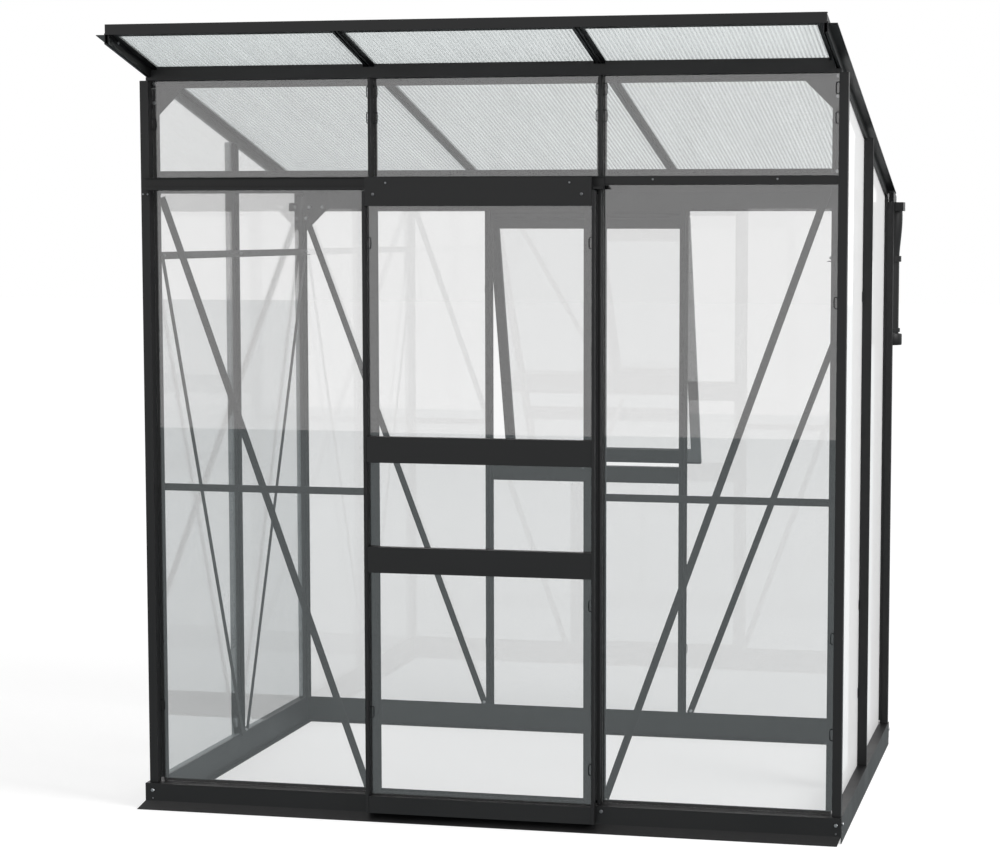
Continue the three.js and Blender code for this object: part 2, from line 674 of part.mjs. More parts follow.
// Roof bars: a bolt channel under the seats, a rib between the sheets and a cap over their edges.
const capLow = SEAT + SHEET + 2 * CLEAR;
const halfRoofBar = [
  [SLOT_MOUTH / 2, 0],
  [channel, 0],
  [channel, SEAT - CAP],
  [SEAT_WIDTH / 2, SEAT - CAP],
  [SEAT_WIDTH / 2, SEAT],
  [ROOF_RIB / 2, SEAT],
  [ROOF_RIB / 2, capLow],
  [CAP_WIDTH / 2, capLow],
  [CAP_WIDTH / 2, capLow + CAP],
  [ROOF_RIB / 2, capLow + CAP],
  [ROOF_RIB / 2, ROOF_RIB_HIGH],
];
const mirrored = (half) => [...half, ...half.map(([a, b]) => [-a, b]).reverse()];
const slotTop = [
  [-SLOT_MOUTH / 2, RIB_SKIN],
  [-SLOT_INSIDE / 2, RIB_SKIN],
  [-SLOT_INSIDE / 2, SEAT - CAP - RIB_SKIN],
  [SLOT_INSIDE / 2, SEAT - CAP - RIB_SKIN],
  [SLOT_INSIDE / 2, RIB_SKIN],
  [SLOT_MOUTH / 2, RIB_SKIN],
];
const roofBarSection = [...mirrored(halfRoofBar), ...slotTop];
const roofFront = -OVERHANG + SKIN + CLEAR;
const roofBack = DEPTH + TAIL;
const barX = (n) => barLine(n) - WIDTH / 2;
add("roof_bar_left", sloping(roofBarSection, barX(1), roofFront, roofBack), coated);
add("roof_bar_right", sloping(roofBarSection, barX(2), roofFront, roofBack), coated);

// Edge bars: a flange outside the wall, a rib and cap over the sheet's edge, a seat under it, and
// a trough over the side glass that runs through the notches of the eave beams, with a slot for
// the corner of the transom pane.
const edgeRibIn = EDGE_RIB + ROOF_RIB;
const edgeCapIn = edgeRibIn + (CAP_WIDTH - ROOF_RIB) / 2;
function edgeBar(side) {
  const at = (outline) => outline.map(([a, h]) => [side * (WIDTH / 2 - a), h]);
  const flange = rectangle(-EDGE_OUT, EDGE_FLANGE - CAP, GABLE_SET + WELD, EDGE_FLANGE);
  const seat = [
    [GABLE_SET, SEAT - CAP],
    [EDGE_IN, SEAT - CAP],
    [EDGE_IN, SEAT],
    [edgeRibIn, SEAT],
    [edgeRibIn, capLow],
    [edgeCapIn, capLow],
    [edgeCapIn, capLow + CAP],
    [edgeRibIn, capLow + CAP],
    [edgeRibIn, ROOF_RIB_HIGH],
    [EDGE_RIB, ROOF_RIB_HIGH],
    [EDGE_RIB, SEAT],
    [GABLE_SET, SEAT],
  ];
  const trough = [
    [GABLE_SET, -GABLE_DROP],
    [GLASS_SET - CLEAR, -GABLE_DROP],
    [GLASS_SET - CLEAR, SKIN - GABLE_DROP],
    [GABLE_SET + SKIN, SKIN - GABLE_DROP],
    [GABLE_SET + SKIN, SEAT - CAP],
    [FLANGE_SET, SEAT - CAP],
    [FLANGE_SET, -GABLE_DROP],
    [FLANGE_BACK, -GABLE_DROP],
    [FLANGE_BACK, SEAT - CAP + WELD],
    [GABLE_SET, SEAT - CAP + WELD],
  ];
  const across = (a) => (side < 0 ? a : WIDTH - a);
  const paneCorner = rectangle(
    across(CORNER_SQUARE),
    FRONT_LEDGE - CUT,
    across(FLANGE_BACK + CUT),
    FRONT_LEDGE + PANE_RISE + CLEAR,
  );
  const bar = join(...[flange, seat, trough].map((part) => sloping(at(part), 0, roofFront, roofBack)));
  return bar.subtract(plate(front, paneCorner, GLASS_SET - CLEAR, FLANGE_SET));
}
add("roof_edge_bar_left", edgeBar(-1), coated);
add("roof_edge_bar_right", edgeBar(1), coated);

// Fascia across the front edge of the roof, with a lip over the bars and sheets and legs between
// the bars' seats, which carry the sheets' front edges.
const fasciaSection = [
  [-OVERHANG, FASCIA_LOW],
  [SKIN - OVERHANG, FASCIA_LOW],
  [SKIN - OVERHANG, FASCIA_HIGH - SKIN],
  [FASCIA_LIP - OVERHANG, FASCIA_HIGH - SKIN],
  [FASCIA_LIP - OVERHANG, FASCIA_HIGH],
  [-OVERHANG, FASCIA_HIGH],
];
const fasciaFace = extrude(fasciaSection, (y, h, t) => [
  (2 * t - 1) * (WIDTH / 2 - FASCIA_INSET),
  y,
  roofLine(-OVERHANG) + h,
]);
const legEdges = [
  [EDGE_IN + CLEAR, barLine(1) - midSeat],
  [barLine(1) + midSeat, barLine(2) - midSeat],
  [barLine(2) + midSeat, WIDTH - EDGE_IN - CLEAR],
];
const fasciaLegs = legEdges.map(([from, to]) =>
  sloping(rectangle(from, SEAT - CAP, to, SEAT), -WIDTH / 2, -OVERHANG, FASCIA_LEG - OVERHANG),
);
add("roof_fascia", join(fasciaFace, ...fasciaLegs), coated);

// Twin-wall roof sheets, held between the seats and the caps.
const sheetEdges = [
  [edgeRibIn + CLEAR, barLine(1) - ROOF_RIB / 2 - CLEAR],
  [barLine(1) + ROOF_RIB / 2 + CLEAR, barLine(2) - ROOF_RIB / 2 - CLEAR],
  [barLine(2) + ROOF_RIB / 2 + CLEAR, WIDTH - edgeRibIn - CLEAR],
];
["left", "middle", "right"].forEach((place, i) => {
  const [from, to] = sheetEdges[i];
  const section = rectangle(from, SEAT + CLEAR, to, SEAT + CLEAR + SHEET);
  add(`roof_sheet_${place}`, sloping(section, -WIDTH / 2, roofFront, roofBack + CUT), twinWall);
});

// Bracing inside the bars. The front's angle bars and braces are one frame on each side of the door.
const angleSection = (low) => [
  [INNER_FACE + CLEAR, low],
  [INNER_FACE + CLEAR, low + STRIP],
  [INNER_FACE + CLEAR + STRIP_THICK, low + STRIP],
  [INNER_FACE + CLEAR + STRIP_THICK, low + STRIP_THICK],
  [INNER_FACE + CLEAR + ANGLE_LEG, low + STRIP_THICK],
  [INNER_FACE + CLEAR + ANGLE_LEG, low],
];
const cornerSeat = FLANGE_BACK + CLEAR;
const frontBracing = (from, to, head, foot) =>
  join(crossways(front, angleSection(MID_BAR_LOW), from, to), strip(front, head, foot));
add(
  "front_bracing_left",
  frontBracing(
    cornerSeat,
    barLine(1) + channel,
    [BRACE_HEAD_SET, CROSSBAR_HIGH - FRONT_LEFT_HEAD],
    [barLine(1) - FRONT_LEFT_FOOT, BRACE_FOOT],
  ),
  coated,
);
add(
  "front_bracing_right",
  frontBracing(
    barLine(2) - channel,
    WIDTH - cornerSeat,
    [WIDTH - BRACE_HEAD_SET, CROSSBAR_HIGH - FRONT_RIGHT_HEAD],
    [barLine(2) + FRONT_RIGHT_FOOT, BRACE_FOOT],
  ),
  coated,
);
add(
  "back_brace_left",
  strip(
    back,
    [BRACE_HEAD_SET, BACK_HEIGHT - BACK_LEFT_HEAD],
    [barLine(1) - BACK_LEFT_FOOT, BRACE_FOOT],
  ),
  coated,
);
add(
  "back_brace_right",
  strip(
    back,
    [WIDTH - BRACE_HEAD_SET, BACK_HEIGHT - BACK_RIGHT_HEAD],
    [barLine(2) + BACK_RIGHT_FOOT, BRACE_FOOT],
  ),
  coated,
);
for (const [name, wall] of Object.entries({ left, right })) {
  const middle = barLine(1);
  const railMiddle = SIDE_RAIL_LOW + STRIP / 2;
  const ends = [cornerSeat + STRIP / 2, DEPTH - cornerSeat - STRIP / 2];
  const shape = join(
    crossways(wall, angleSection(SIDE_RAIL_LOW), cornerSeat, DEPTH - cornerSeat),
    strip(wall, [ends[0], railMiddle], [middle - SIDE_FOOT_SET, BRACE_FOOT]),
    strip(wall, [ends[1], railMiddle], [middle + SIDE_FOOT_SET, BRACE_FOOT]),
    plate(
      wall,
      rectangle(
        middle - SIDE_FOOT_SET - channel,
        BRACE_FOOT,
        middle + SIDE_FOOT_SET + channel,
        BRACE_FOOT + STRIP,
      ),
      INNER_FACE + CLEAR,
      INNER_FACE + CLEAR + STRIP_THICK,
    ),
  );
  add(`side_bracing_${name}`, shape, coated);
}

// Sill under the vent: a hollow bar between the back posts, with a flange behind the lower pane
// and a peg for the stay.
const postHalf = rib + CLEAR;
const ventSillBar = crossways(
  back,
  rectangle(0, VENT_SILL_LOW, GLASS_SET + GLASS, VENT_SILL_TOP),
  barLine(1) + postHalf,
  barLine(2) - postHalf,
  rectangle(SKIN, VENT_SILL_LOW + SKIN, GLASS_SET + GLASS - SKIN, VENT_SILL_TOP - SKIN),
);
const ventSillFlange = crossways(
  back,
  rectangle(GLASS_SET + GLASS - WELD, VENT_SILL_LOW - CROSSBAR_LAP, FLANGE_BACK, VENT_SILL_TOP),
  barLine(1) + barHalf,
  barLine(2) - barHalf,
);
const glassRebate = crossways(
  back,
  rectangle(0, VENT_SILL_LOW - CROSSBAR_LAP - CUT, FLANGE_SET, VENT_SILL_LOW),
  barLine(1),
  barLine(2),
);
const ventMiddle = (ventFrom + ventTo) / 2 - WIDTH / 2;
const peg = new THREE.CylinderGeometry(PEG_TIP_R, PEG_R, PEG_HIGH + SKIN, AXLE_SIDES);
peg.rotateX(Math.PI / 2);
const stayNear = LUG_THICK / 2 + CLEAR; // side of the stay, from the lug's middle
const pegX = ventMiddle + stayNear + STAY_WIDE / 2;
peg.translate(pegX, DEPTH - PEG_SET, VENT_SILL_TOP + (PEG_HIGH - SKIN) / 2);
add("vent_sill", join(ventSillBar, ventSillFlange).subtract(glassRebate).add(solid(peg)), coated);

// Panes of the walls
function pane(wall, from, to, low, high) {
  const section = rectangle(from, GLASS_SET, to, GLASS_SET + GLASS);
  return upright(wall, 0, section, low, high);
}
const paneLow = SILL_TOP + GLASS_GAP;
const ribGap = rib + GLASS_GAP;
const frontEdges = [
  [CORNER_SQUARE + GLASS_GAP, barLine(1) - ribGap],
  [barLine(1) + ribGap, barLine(2) - ribGap],
  [barLine(2) + ribGap, WIDTH - CORNER_SQUARE - GLASS_GAP],
];
const sideStart = FLANGE_BACK + GLASS_GAP;
const sideEdges = [
  [sideStart, barLine(1) - ribGap],
  [barLine(1) + ribGap, DEPTH - sideStart],
];
const lowerTop = CROSSBAR_LOW - GLASS_GAP;
add("front_pane_left", pane(front, ...frontEdges[0], paneLow, lowerTop), glazing);
add("front_pane_right", pane(front, ...frontEdges[2], paneLow, lowerTop), glazing);
["left", "middle", "right"].forEach((place, i) => {
  const shape = pane(front, ...frontEdges[i], CROSSBAR_HIGH + GLASS_GAP, FRONT_LEDGE + PANE_RISE);
  add(`transom_pane_${place}`, shape, glazing);
});
add("back_pane_left", pane(back, ...frontEdges[0], paneLow, BACK_LEDGE + PANE_RISE), glazing);
add("back_pane_middle", pane(back, ...frontEdges[1], paneLow, VENT_SILL_LOW - GLASS_GAP), glazing);
add("back_pane_right", pane(back, ...frontEdges[2], paneLow, BACK_LEDGE + PANE_RISE), glazing);
const sideTop = (y) => roofLine(y) - GABLE_DROP + PANE_RISE;
for (const [name, wall] of Object.entries({ left, right })) {
  add(`side_pane_${name}_front`, pane(wall, ...sideEdges[0], paneLow, sideTop), glazing);
  add(`side_pane_${name}_back`, pane(wall, ...sideEdges[1], paneLow, sideTop), glazing);
}

// Downpipe: outlet bend, collar, pipe, lower collar and end socket in one moulded run.
const pipeOutline = [
  [PIPE_BORE, GUTTER_LOW - CLEAR],
  [PIPE_R, GUTTER_LOW - CLEAR],
  [BEND_R, (2 * GUTTER_LOW + BEND_LOW) / 3],
  [BEND_R, (GUTTER_LOW + BEND_LOW) / 2],
  [BEND_WAIST_R, (GUTTER_LOW + 2 * BEND_LOW) / 3],
  [PIPE_R, BEND_LOW],
  [COLLAR_R, BEND_LOW],
  [COLLAR_R, COLLAR_LOW],
  [PIPE_R, COLLAR_LOW],
  [PIPE_R, LOWER_COLLAR_TOP],
  [LOWER_COLLAR_R, LOWER_COLLAR_TOP],
  [LOWER_COLLAR_R, LOWER_COLLAR_LOW],
  [PIPE_R, LOWER_COLLAR_LOW],
  [PIPE_R, SOCKET_TOP + SOCKET_ROUND / 2],
  [SOCKET_R - SOCKET_ROUND / 2, SOCKET_TOP],
  [SOCKET_R, SOCKET_TOP - SOCKET_ROUND],
  [SOCKET_R, SOCKET_LOW + SOCKET_ROUND],
  [SOCKET_R - SOCKET_ROUND / 2, SOCKET_LOW],
  [PIPE_BORE, SOCKET_LOW],
  [PIPE_BORE, BEND_LOW],
  [PIPE_BORE, (GUTTER_LOW + 2 * BEND_LOW) / 3],
  [PIPE_BORE, (GUTTER_LOW + BEND_LOW) / 2],
  [PIPE_BORE, (2 * GUTTER_LOW + BEND_LOW) / 3],
  [PIPE_BORE, GUTTER_LOW - CLEAR],
];
const pipe = new THREE.LatheGeometry(
  pipeOutline.map(([r, z]) => new THREE.Vector2(r, z)),
  ROUND_SIDES,
);
pipe.rotateX(Math.PI / 2);
const pipeAt = pipe.getAttribute("position");
for (let i = 0; i < pipeAt.count; i++) {
  const z = pipeAt.getZ(i);
  const swing = PIPE_SWING * THREE.MathUtils.smoothstep(z, BEND_LOW, GUTTER_LOW);
  pipeAt.setXYZ(i, pipeAt.getX(i) + pipeX + swing, pipeAt.getY(i) + pipeY, z);
}
add("downpipe", solid(pipe), pipePlastic);

// Sliding door, in front of the wall: depths are negative v. It covers the middle bay at rest.
const door = new THREE.Group();
house.add(door);
const doorFrom = barLine(1) - DOOR_LAP;
const doorTo = barLine(2) - DOOR_STOP;
const doorFlangeFront = -DOOR_BACK - FLANGE;
const doorGlassBack = doorFlangeFront - CLEAR;
const doorGlassFront = doorGlassBack - GLASS;
const doorCoreFront = doorGlassFront - CLEAR;
const stileSection = [
  [0, -DOOR_FACE],
  [RIB_WIDTH, -DOOR_FACE],
  [RIB_WIDTH, doorFlangeFront],
  [DOOR_FLANGE, doorFlangeFront],
  [DOOR_FLANGE, -DOOR_BACK],
  [0, -DOOR_BACK],
];
const stileHole = rectangle(
  RIB_SKIN,
  RIB_SKIN - DOOR_FACE,
  RIB_WIDTH - RIB_SKIN,
  doorFlangeFront - RIB_SKIN,
);
const flipped = (outline) => outline.map(([a, b]) => [-a, b]);
add(
  "door_stile_left",
  upright(front, doorFrom, stileSection, DOOR_LOW, STILE_TOP, stileHole),
  coated,
  door,
);
add(
  "door_stile_right",
  upright(front, doorTo, flipped(stileSection), DOOR_LOW, STILE_TOP, flipped(stileHole)),
  coated,
  door,
);

// A door rail is a hollow bar between the stiles' ribs and a flange between their flanges.
function doorRail(barLow, barHigh, coreLow, coreHigh, flangeLow, flangeHigh) {
  const ribEdge = RIB_WIDTH + CLEAR;
  const flangeEdge = DOOR_FLANGE + CLEAR;
  const bar = crossways(
    front,
    rectangle(-DOOR_FACE + RAIL_SET, barLow, doorCoreFront, barHigh),
    doorFrom + ribEdge,
    doorTo - ribEdge,
    rectangle(-DOOR_FACE + RAIL_SET + SKIN, barLow + SKIN, doorCoreFront - SKIN, barHigh - SKIN),
  );
  const core = crossways(
    front,
    rectangle(doorCoreFront - WELD, coreLow, -DOOR_BACK, coreHigh),
    doorFrom + flangeEdge,
    doorTo - flangeEdge,
  );
  const flange = crossways(
    front,
    rectangle(doorFlangeFront, flangeLow, -DOOR_BACK, flangeHigh),
    doorFrom + flangeEdge,
    doorTo - flangeEdge,
  );
  return join(bar, core, flange);
}
const crossRail = (middle) =>
  doorRail(
    middle - RAIL_HIGH / 2,
    middle + RAIL_HIGH / 2,
    middle - RAIL_CORE / 2,
    middle + RAIL_CORE / 2,
    middle - RAIL_HIGH / 2,
    middle + RAIL_HIGH / 2,
  );
add("door_rail_upper", crossRail(UPPER_RAIL), coated, door);
add("door_rail_lower", crossRail(LOWER_RAIL), coated, door);
add(
  "door_rail_bottom",
  doorRail(DOOR_LOW, BOTTOM_RAIL_TOP, DOOR_LOW, BOTTOM_CORE, DOOR_LOW, BOTTOM_FLANGE),
  coated,
  door,
);

// The header plate hangs the door from two wheels on axles fixed in its back.
const axleX = [doorFrom + WHEEL_SET, doorTo - WHEEL_SET].map((u) => u - WIDTH / 2);
const headerPlate = crossways(
  front,
  rectangle(-DOOR_FACE, HEADER_LOW, SKIN - DOOR_FACE, HEADER_TOP),
  doorFrom + RIB_WIDTH + CLEAR,
  doorTo - RIB_WIDTH - CLEAR,
);
const axles = axleX.map((x) => {
  const axle = new THREE.CylinderGeometry(AXLE_R, AXLE_R, DOOR_FACE - AXLE_BACK - WELD, AXLE_SIDES);
  axle.translate(x, -(DOOR_FACE + AXLE_BACK - WELD) / 2, AXLE_HEIGHT);
  return solid(axle);
});
const headerRail = doorRail(
  HEADER_LOW,
  HEADER_FOLD,
  HEADER_POCKET,
  HEADER_FOLD,
  HEADER_FLANGE,
  HEADER_FOLD,
);
add("door_header", join(headerPlate, headerRail, ...axles), coated, door);
const wheelOutline = [
  [AXLE_R + CLEAR, 0],
  [WHEEL_R, 0],
  [WHEEL_R, WHEEL_GROOVE],
  [WHEEL_R - WHEEL_GROOVE, WHEEL_WIDE / 2],
  [WHEEL_R, WHEEL_WIDE - WHEEL_GROOVE],
  [WHEEL_R, WHEEL_WIDE],
  [AXLE_R + CLEAR, WHEEL_WIDE],
  [AXLE_R + CLEAR, 0],
];
["left", "right"].forEach((place, i) => {
  const wheel = new THREE.LatheGeometry(
    wheelOutline.map(([r, y]) => new THREE.Vector2(r, y)),
    ROUND_SIDES,
  );
  const mesh = add(`door_wheel_${place}`, solid(wheel), nylon, door);
  mesh.position.set(axleX[i], -WHEEL_FRONT, AXLE_HEIGHT);
});

// Door panes, each edge held in a rail's rebate
function doorPane(low, high) {
  const from = doorFrom + RIB_WIDTH + GLASS_GAP;
  const to = doorTo - RIB_WIDTH - GLASS_GAP;
  return plate(front, rectangle(from, low, to, high), doorGlassFront, doorGlassBack);
}
const coreGap = RAIL_CORE / 2 + GLASS_GAP;
add("door_pane_bottom", doorPane(BOTTOM_CORE + GLASS_GAP, LOWER_RAIL - coreGap), glazing, door);
add("door_pane_middle", doorPane(LOWER_RAIL + coreGap, UPPER_RAIL - coreGap), glazing, door);
add("door_pane_top", doorPane(UPPER_RAIL + coreGap, HEADER_POCKET - GLASS_GAP), glazing, door);

// Vent, drawn shut about its hinge line and turned open. Its bead turns in the beam's socket.
const vent = new THREE.Group();
vent.position.set(0, hingeY, VENT_HINGE_Z);
vent.rotation.x = VENT_OPEN;
house.add(vent);
const ventX = [ventFrom - WIDTH / 2, ventTo - WIDTH / 2];
const acrossVent = (from, to) => (y, z, t) => [t ? to : from, y, z];
const ventFront = VENT_DEEP - VENT_BACK;
const ventPaneY = [(VENT_DEEP - GLASS) / 2 - VENT_BACK, (VENT_DEEP + GLASS) / 2 - VENT_BACK];
const ring = extrude(
  rectangle(ventX[0], -VENT_LONG, ventX[1], -VENT_TOP),
  (x, z, t) => [x, t ? ventFront : -VENT_BACK, z],
  rectangle(
    ventX[0] + VENT_STILE,
    VENT_LOW_RAIL - VENT_LONG,
    ventX[1] - VENT_STILE,
    -VENT_TOP - VENT_TOP_RAIL,
  ),
);
const rebate = (inset) =>
  rectangle(
    ventX[0] + VENT_STILE - inset,
    VENT_LOW_RAIL - VENT_LONG - inset,
    ventX[1] - VENT_STILE + inset,
    inset - VENT_TOP - VENT_TOP_RAIL,
  );
const groove = extrude(rebate(VENT_REBATE), (x, z, t) => [
  x,
  t ? ventPaneY[1] + CLEAR : ventPaneY[0] - CLEAR,
  z,
]);
const bead = new THREE.CylinderGeometry(VENT_BEAD, VENT_BEAD, ventX[1] - ventX[0], ARC_STEPS);
bead.rotateZ(Math.PI / 2);
bead.translate((ventX[0] + ventX[1]) / 2, 0, 0);
const neck = extrude(
  rectangle(-VENT_NECK / 2, -VENT_TOP - WELD, VENT_NECK / 2, 0),
  acrossVent(...ventX),
);
const pivotY = -VENT_BACK - STAY_PIVOT_IN + LUG_R / 2;
const pivotZ = STAY_PIVOT_RISE - VENT_LONG;
const lugX = ventMiddle - LUG_THICK / 2;
const lugRoot = VENT_LOW_RAIL - VENT_LONG;
const lugFront = ventPaneY[0] - CLEAR;
const lugOutline = [
  [-VENT_BACK, lugRoot - WELD],
  [lugFront, lugRoot - WELD],
  [lugFront, lugRoot + CAP],
  ...arc(LUG_R, 0, LUG_TURN).map(([y, z]) => [pivotY + y, pivotZ + z]),
];
const lugHole = arc(LUG_HOLE, 0, 2 * Math.PI)
  .slice(1)
  .map(([y, z]) => [pivotY + y, pivotZ + z]);
const lug = extrude(lugOutline, acrossVent(lugX, lugX + LUG_THICK), lugHole);
add("vent_frame", join(ring.subtract(groove), solid(bead), neck, lug), coated, vent);
const ventPane = extrude(rebate(VENT_REBATE - GLASS_GAP), (x, z, t) => [x, ventPaneY[t], z]);
add("vent_pane", ventPane, glazing, vent);

// Peg stay: a flat bar with holes, hinged on the vent's lug and lying on the sill's peg.
const turned = (y, z) => [
  y * Math.cos(VENT_OPEN) - z * Math.sin(VENT_OPEN),
  y * Math.sin(VENT_OPEN) + z * Math.cos(VENT_OPEN),
];
const [pivotOut, pivotUp] = turned(pivotY, pivotZ);
const stayRun = hingeY + pivotOut - (DEPTH - PEG_SET);
const stayRise = VENT_HINGE_Z + pivotUp - (VENT_SILL_TOP + PEG_HIGH + STAY_CLEAR);
const stay = new THREE.Group();
stay.position.set(ventMiddle, pivotY, pivotZ);
stay.rotation.x = Math.atan2(stayRise, stayRun) - VENT_OPEN;
vent.add(stay);
const blade = extrude(
  rectangle(stayNear, -STAY_LONG, stayNear + STAY_WIDE, LUG_R),
  (x, y, t) => [x, y, t ? STAY_THICK : 0],
  ...Array.from({ length: STAY_HOLES }, (_, i) => {
    const y = STAY_HOLE_END + i * STAY_HOLE_STEP - STAY_LONG;
    return arc(STAY_HOLE, 0, 2 * Math.PI)
      .slice(1)
      .map(([a, b]) => [stayNear + STAY_WIDE / 2 + a, y + b]);
  }),
);
const ear = extrude(arc(LUG_R, 0, Math.PI), (y, z, t) => [stayNear + t * LUG_THICK, y, z]);
const pin = new THREE.CylinderGeometry(STAY_PIN, STAY_PIN, stayNear + LUG_THICK + LUG_THICK / 2, AXLE_SIDES);
pin.rotateZ(Math.PI / 2);
pin.translate((stayNear + LUG_THICK / 2) / 2, 0, 0);
add("vent_stay", join(blade, ear, solid(pin)), zinc, stay);

export default model;
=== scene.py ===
from math import pi

import bpy
import numpy as np
from mathutils import Matrix, Vector


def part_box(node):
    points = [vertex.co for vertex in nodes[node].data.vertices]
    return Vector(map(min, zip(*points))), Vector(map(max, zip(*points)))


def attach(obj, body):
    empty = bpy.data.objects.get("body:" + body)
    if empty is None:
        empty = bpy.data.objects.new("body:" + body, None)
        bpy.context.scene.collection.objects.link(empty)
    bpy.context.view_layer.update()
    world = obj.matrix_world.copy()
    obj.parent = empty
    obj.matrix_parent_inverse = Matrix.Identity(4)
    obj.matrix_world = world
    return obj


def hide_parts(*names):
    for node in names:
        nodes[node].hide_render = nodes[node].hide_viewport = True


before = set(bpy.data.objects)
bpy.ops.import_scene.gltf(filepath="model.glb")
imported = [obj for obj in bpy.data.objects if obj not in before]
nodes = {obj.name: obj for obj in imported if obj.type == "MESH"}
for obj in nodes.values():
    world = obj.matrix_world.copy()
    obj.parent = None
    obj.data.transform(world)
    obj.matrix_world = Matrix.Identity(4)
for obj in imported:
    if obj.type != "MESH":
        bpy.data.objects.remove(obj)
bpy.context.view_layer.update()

bpy.context.scene.view_settings.view_transform = "Standard"
bpy.context.scene.cycles.transparent_max_bounces = 64

# Base sills
# Four folded aluminium sections lie on the ground, mitred at the corners, with a bolt and a screw
# at both ends of each face. They are powder-coated near black and carry the posts and the glass.
MM = 0.001
COAT_DARK = "0d0d0e"
COAT_LIGHT = "141415"


def linear(code):
    """sRGB hex text to linear colour: each byte over 255, then the sRGB curve undone."""
    share = np.frombuffer(bytes.fromhex(code), np.uint8) / 255
    curve = np.where(share <= 0.04045, share / 12.92, ((share + 0.055) / 1.055) ** 2.4)
    return (*curve.tolist(), 1.0)


def add_node(tree, kind, inputs=(), **settings):
    """Adds a node with its settings; inputs holds values, or the output sockets that feed them."""
    made = tree.nodes.new(kind)
    for name, value in settings.items():
        setattr(made, name, value)
    for name, value in dict(inputs).items():
        if isinstance(value, bpy.types.NodeSocket):
            tree.links.new(value, made.inputs[name])
        else:
            made.inputs[name].default_value = value
    return made


def new_material(name):
    material = bpy.data.materials.new(name)
    material.use_nodes = True
    material.node_tree.nodes.clear()
    return material, material.node_tree


def surface(tree, finished):
    add_node(tree, "ShaderNodeOutputMaterial", {"Surface": finished})


def noise(tree, size, detail, roughness=0.5, stretch=None):
    """Noise in the object's own space, its coarsest features that many mm wide."""
    place = add_node(tree, "ShaderNodeTexCoord").outputs["Object"]
    if stretch:
        place = add_node(tree, "ShaderNodeMapping", {"Vector": place, "Scale": stretch}).outputs[0]
    inputs = {"Vector": place, "Scale": 1 / (size * MM), "Detail": detail, "Roughness": roughness}
    return add_node(tree, "ShaderNodeTexNoise", inputs).outputs["Fac"]


def ranged(tree, value, low, high, start=0, end=1, **settings):
    """Low where the value is at its start, high at its end, and in proportion between them."""
    inputs = {"Value": value, "From Min": start, "From Max": end, "To Min": low, "To Max": high}
    return add_node(tree, "ShaderNodeMapRange", inputs, **settings).outputs["Result"]


def blended(tree, factor, first, second):
    inputs = {"Factor": factor, "A": linear(first), "B": linear(second)}
    mix = add_node(tree, "ShaderNodeMix", inputs, data_type="RGBA")
    return next(socket for socket in mix.outputs if socket.type == "RGBA")


def bumped(tree, height, strength, distance):
    inputs = {"Height": height, "Strength": strength, "Distance": distance}
    return add_node(tree, "ShaderNodeBump", inputs).outputs["Normal"]


def shader(tree, kind, inputs):
    return add_node(tree, f"ShaderNode{kind}", inputs).outputs[0]


def powder_coat():
    """Polyester powder baked on aluminium: a dull satin film. Its grain is a mm or so and is drawn
    at 5 mm so that it shows; where the film is thicker the shade and the gloss change slowly."""
    material, tree = new_material("powder_coated_aluminium")
    slow = noise(tree, 160, detail=4)
    grain = noise(tree, 5, detail=2)
    film = {
        "Base Color": blended(tree, slow, COAT_DARK, COAT_LIGHT),
        "Roughness": ranged(tree, slow, 0.4, 0.5, 0.3, 0.7),
        "Normal": bumped(tree, grain, 0.12, 0.0004),
        "IOR": 1.5,
        "Specular IOR Level": 0.42,
    }
    surface(tree, shader(tree, "BsdfPrincipled", film))
    return material


def plated_steel(name, code, roughness):
    """Steel with a thin bright metal coat: a soft grey mirror, with patches a few mm wide that are
    duller where the coat is thinner, drawn at 4 mm."""
    material, tree = new_material(name)
    gloss = ranged(tree, noise(tree, 4, detail=3), roughness - 0.08, roughness + 0.12)
    metal = {"Base Color": linear(code), "Metallic": 1.0, "Roughness": gloss}
    surface(tree, shader(tree, "BsdfPrincipled", metal))
    return material


coat = powder_coat()
zinc = plated_steel("zinc_plated_steel", "9a9c9e", 0.36)
dull_zinc = plated_steel("dull_zinc_plated_steel", "77787a", 0.5)

WELD_GAP = 0.01 * MM
FLAT_ANGLE = 0.01
SHARP_ANGLE = 0.7
DIE_ROUND = 0.35 * MM


def named(*starts):
    return [name for name in nodes if name.startswith(starts)]


def dress(names, material, rounded=True):
    """Gives CAD nodes their material. Edges of an extrusion come off the die slightly rounded: the
    loose triangles are welded, flat faces merged, and corners sharper than 40 degrees bevelled."""
    for name in names:
        nodes[name].data.materials.clear()
        nodes[name].data.materials.append(material)
        if rounded:
            weld = nodes[name].modifiers.new("weld", "WELD")
            weld.merge_threshold = WELD_GAP
            flat = nodes[name].modifiers.new("flat", "DECIMATE")
            flat.decimate_type = "DISSOLVE"
            flat.angle_limit = FLAT_ANGLE
            bevel = nodes[name].modifiers.new("die_round", "BEVEL")
            bevel.width = DIE_ROUND
            bevel.segments = 2
            bevel.limit_method = "ANGLE"
            bevel.angle_limit = SHARP_ANGLE


def corners_of(name):
    return [np.array(place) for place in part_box(name)]


# The outer faces of the corner posts are the walls' faces. Along a wall, a place is so many mm from
# its left or front end, so many mm inwards from its face, and so high.
corner = corners_of("corner_post_front_left")[0]
far_corner = corners_of("corner_post_back_right")[1]
WIDTH = (far_corner[0] - corner[0]) / MM
DEPTH = (far_corner[1] - corner[1]) / MM
X, Y, Z = np.eye(3)
walls = {
    "front": (corner * (X + Y), X, Y),
    "back": (corner * X + far_corner * Y, X, -Y),
    "left": (corner * (X + Y), Y, X),
    "right": (far_corner * X + corner * Y, Y, -X),
}


def on_wall(wall, along, inwards, height):
    origin, run, inward = walls[wall]
    return origin + (along * run + inwards * inward + height * Z) * MM


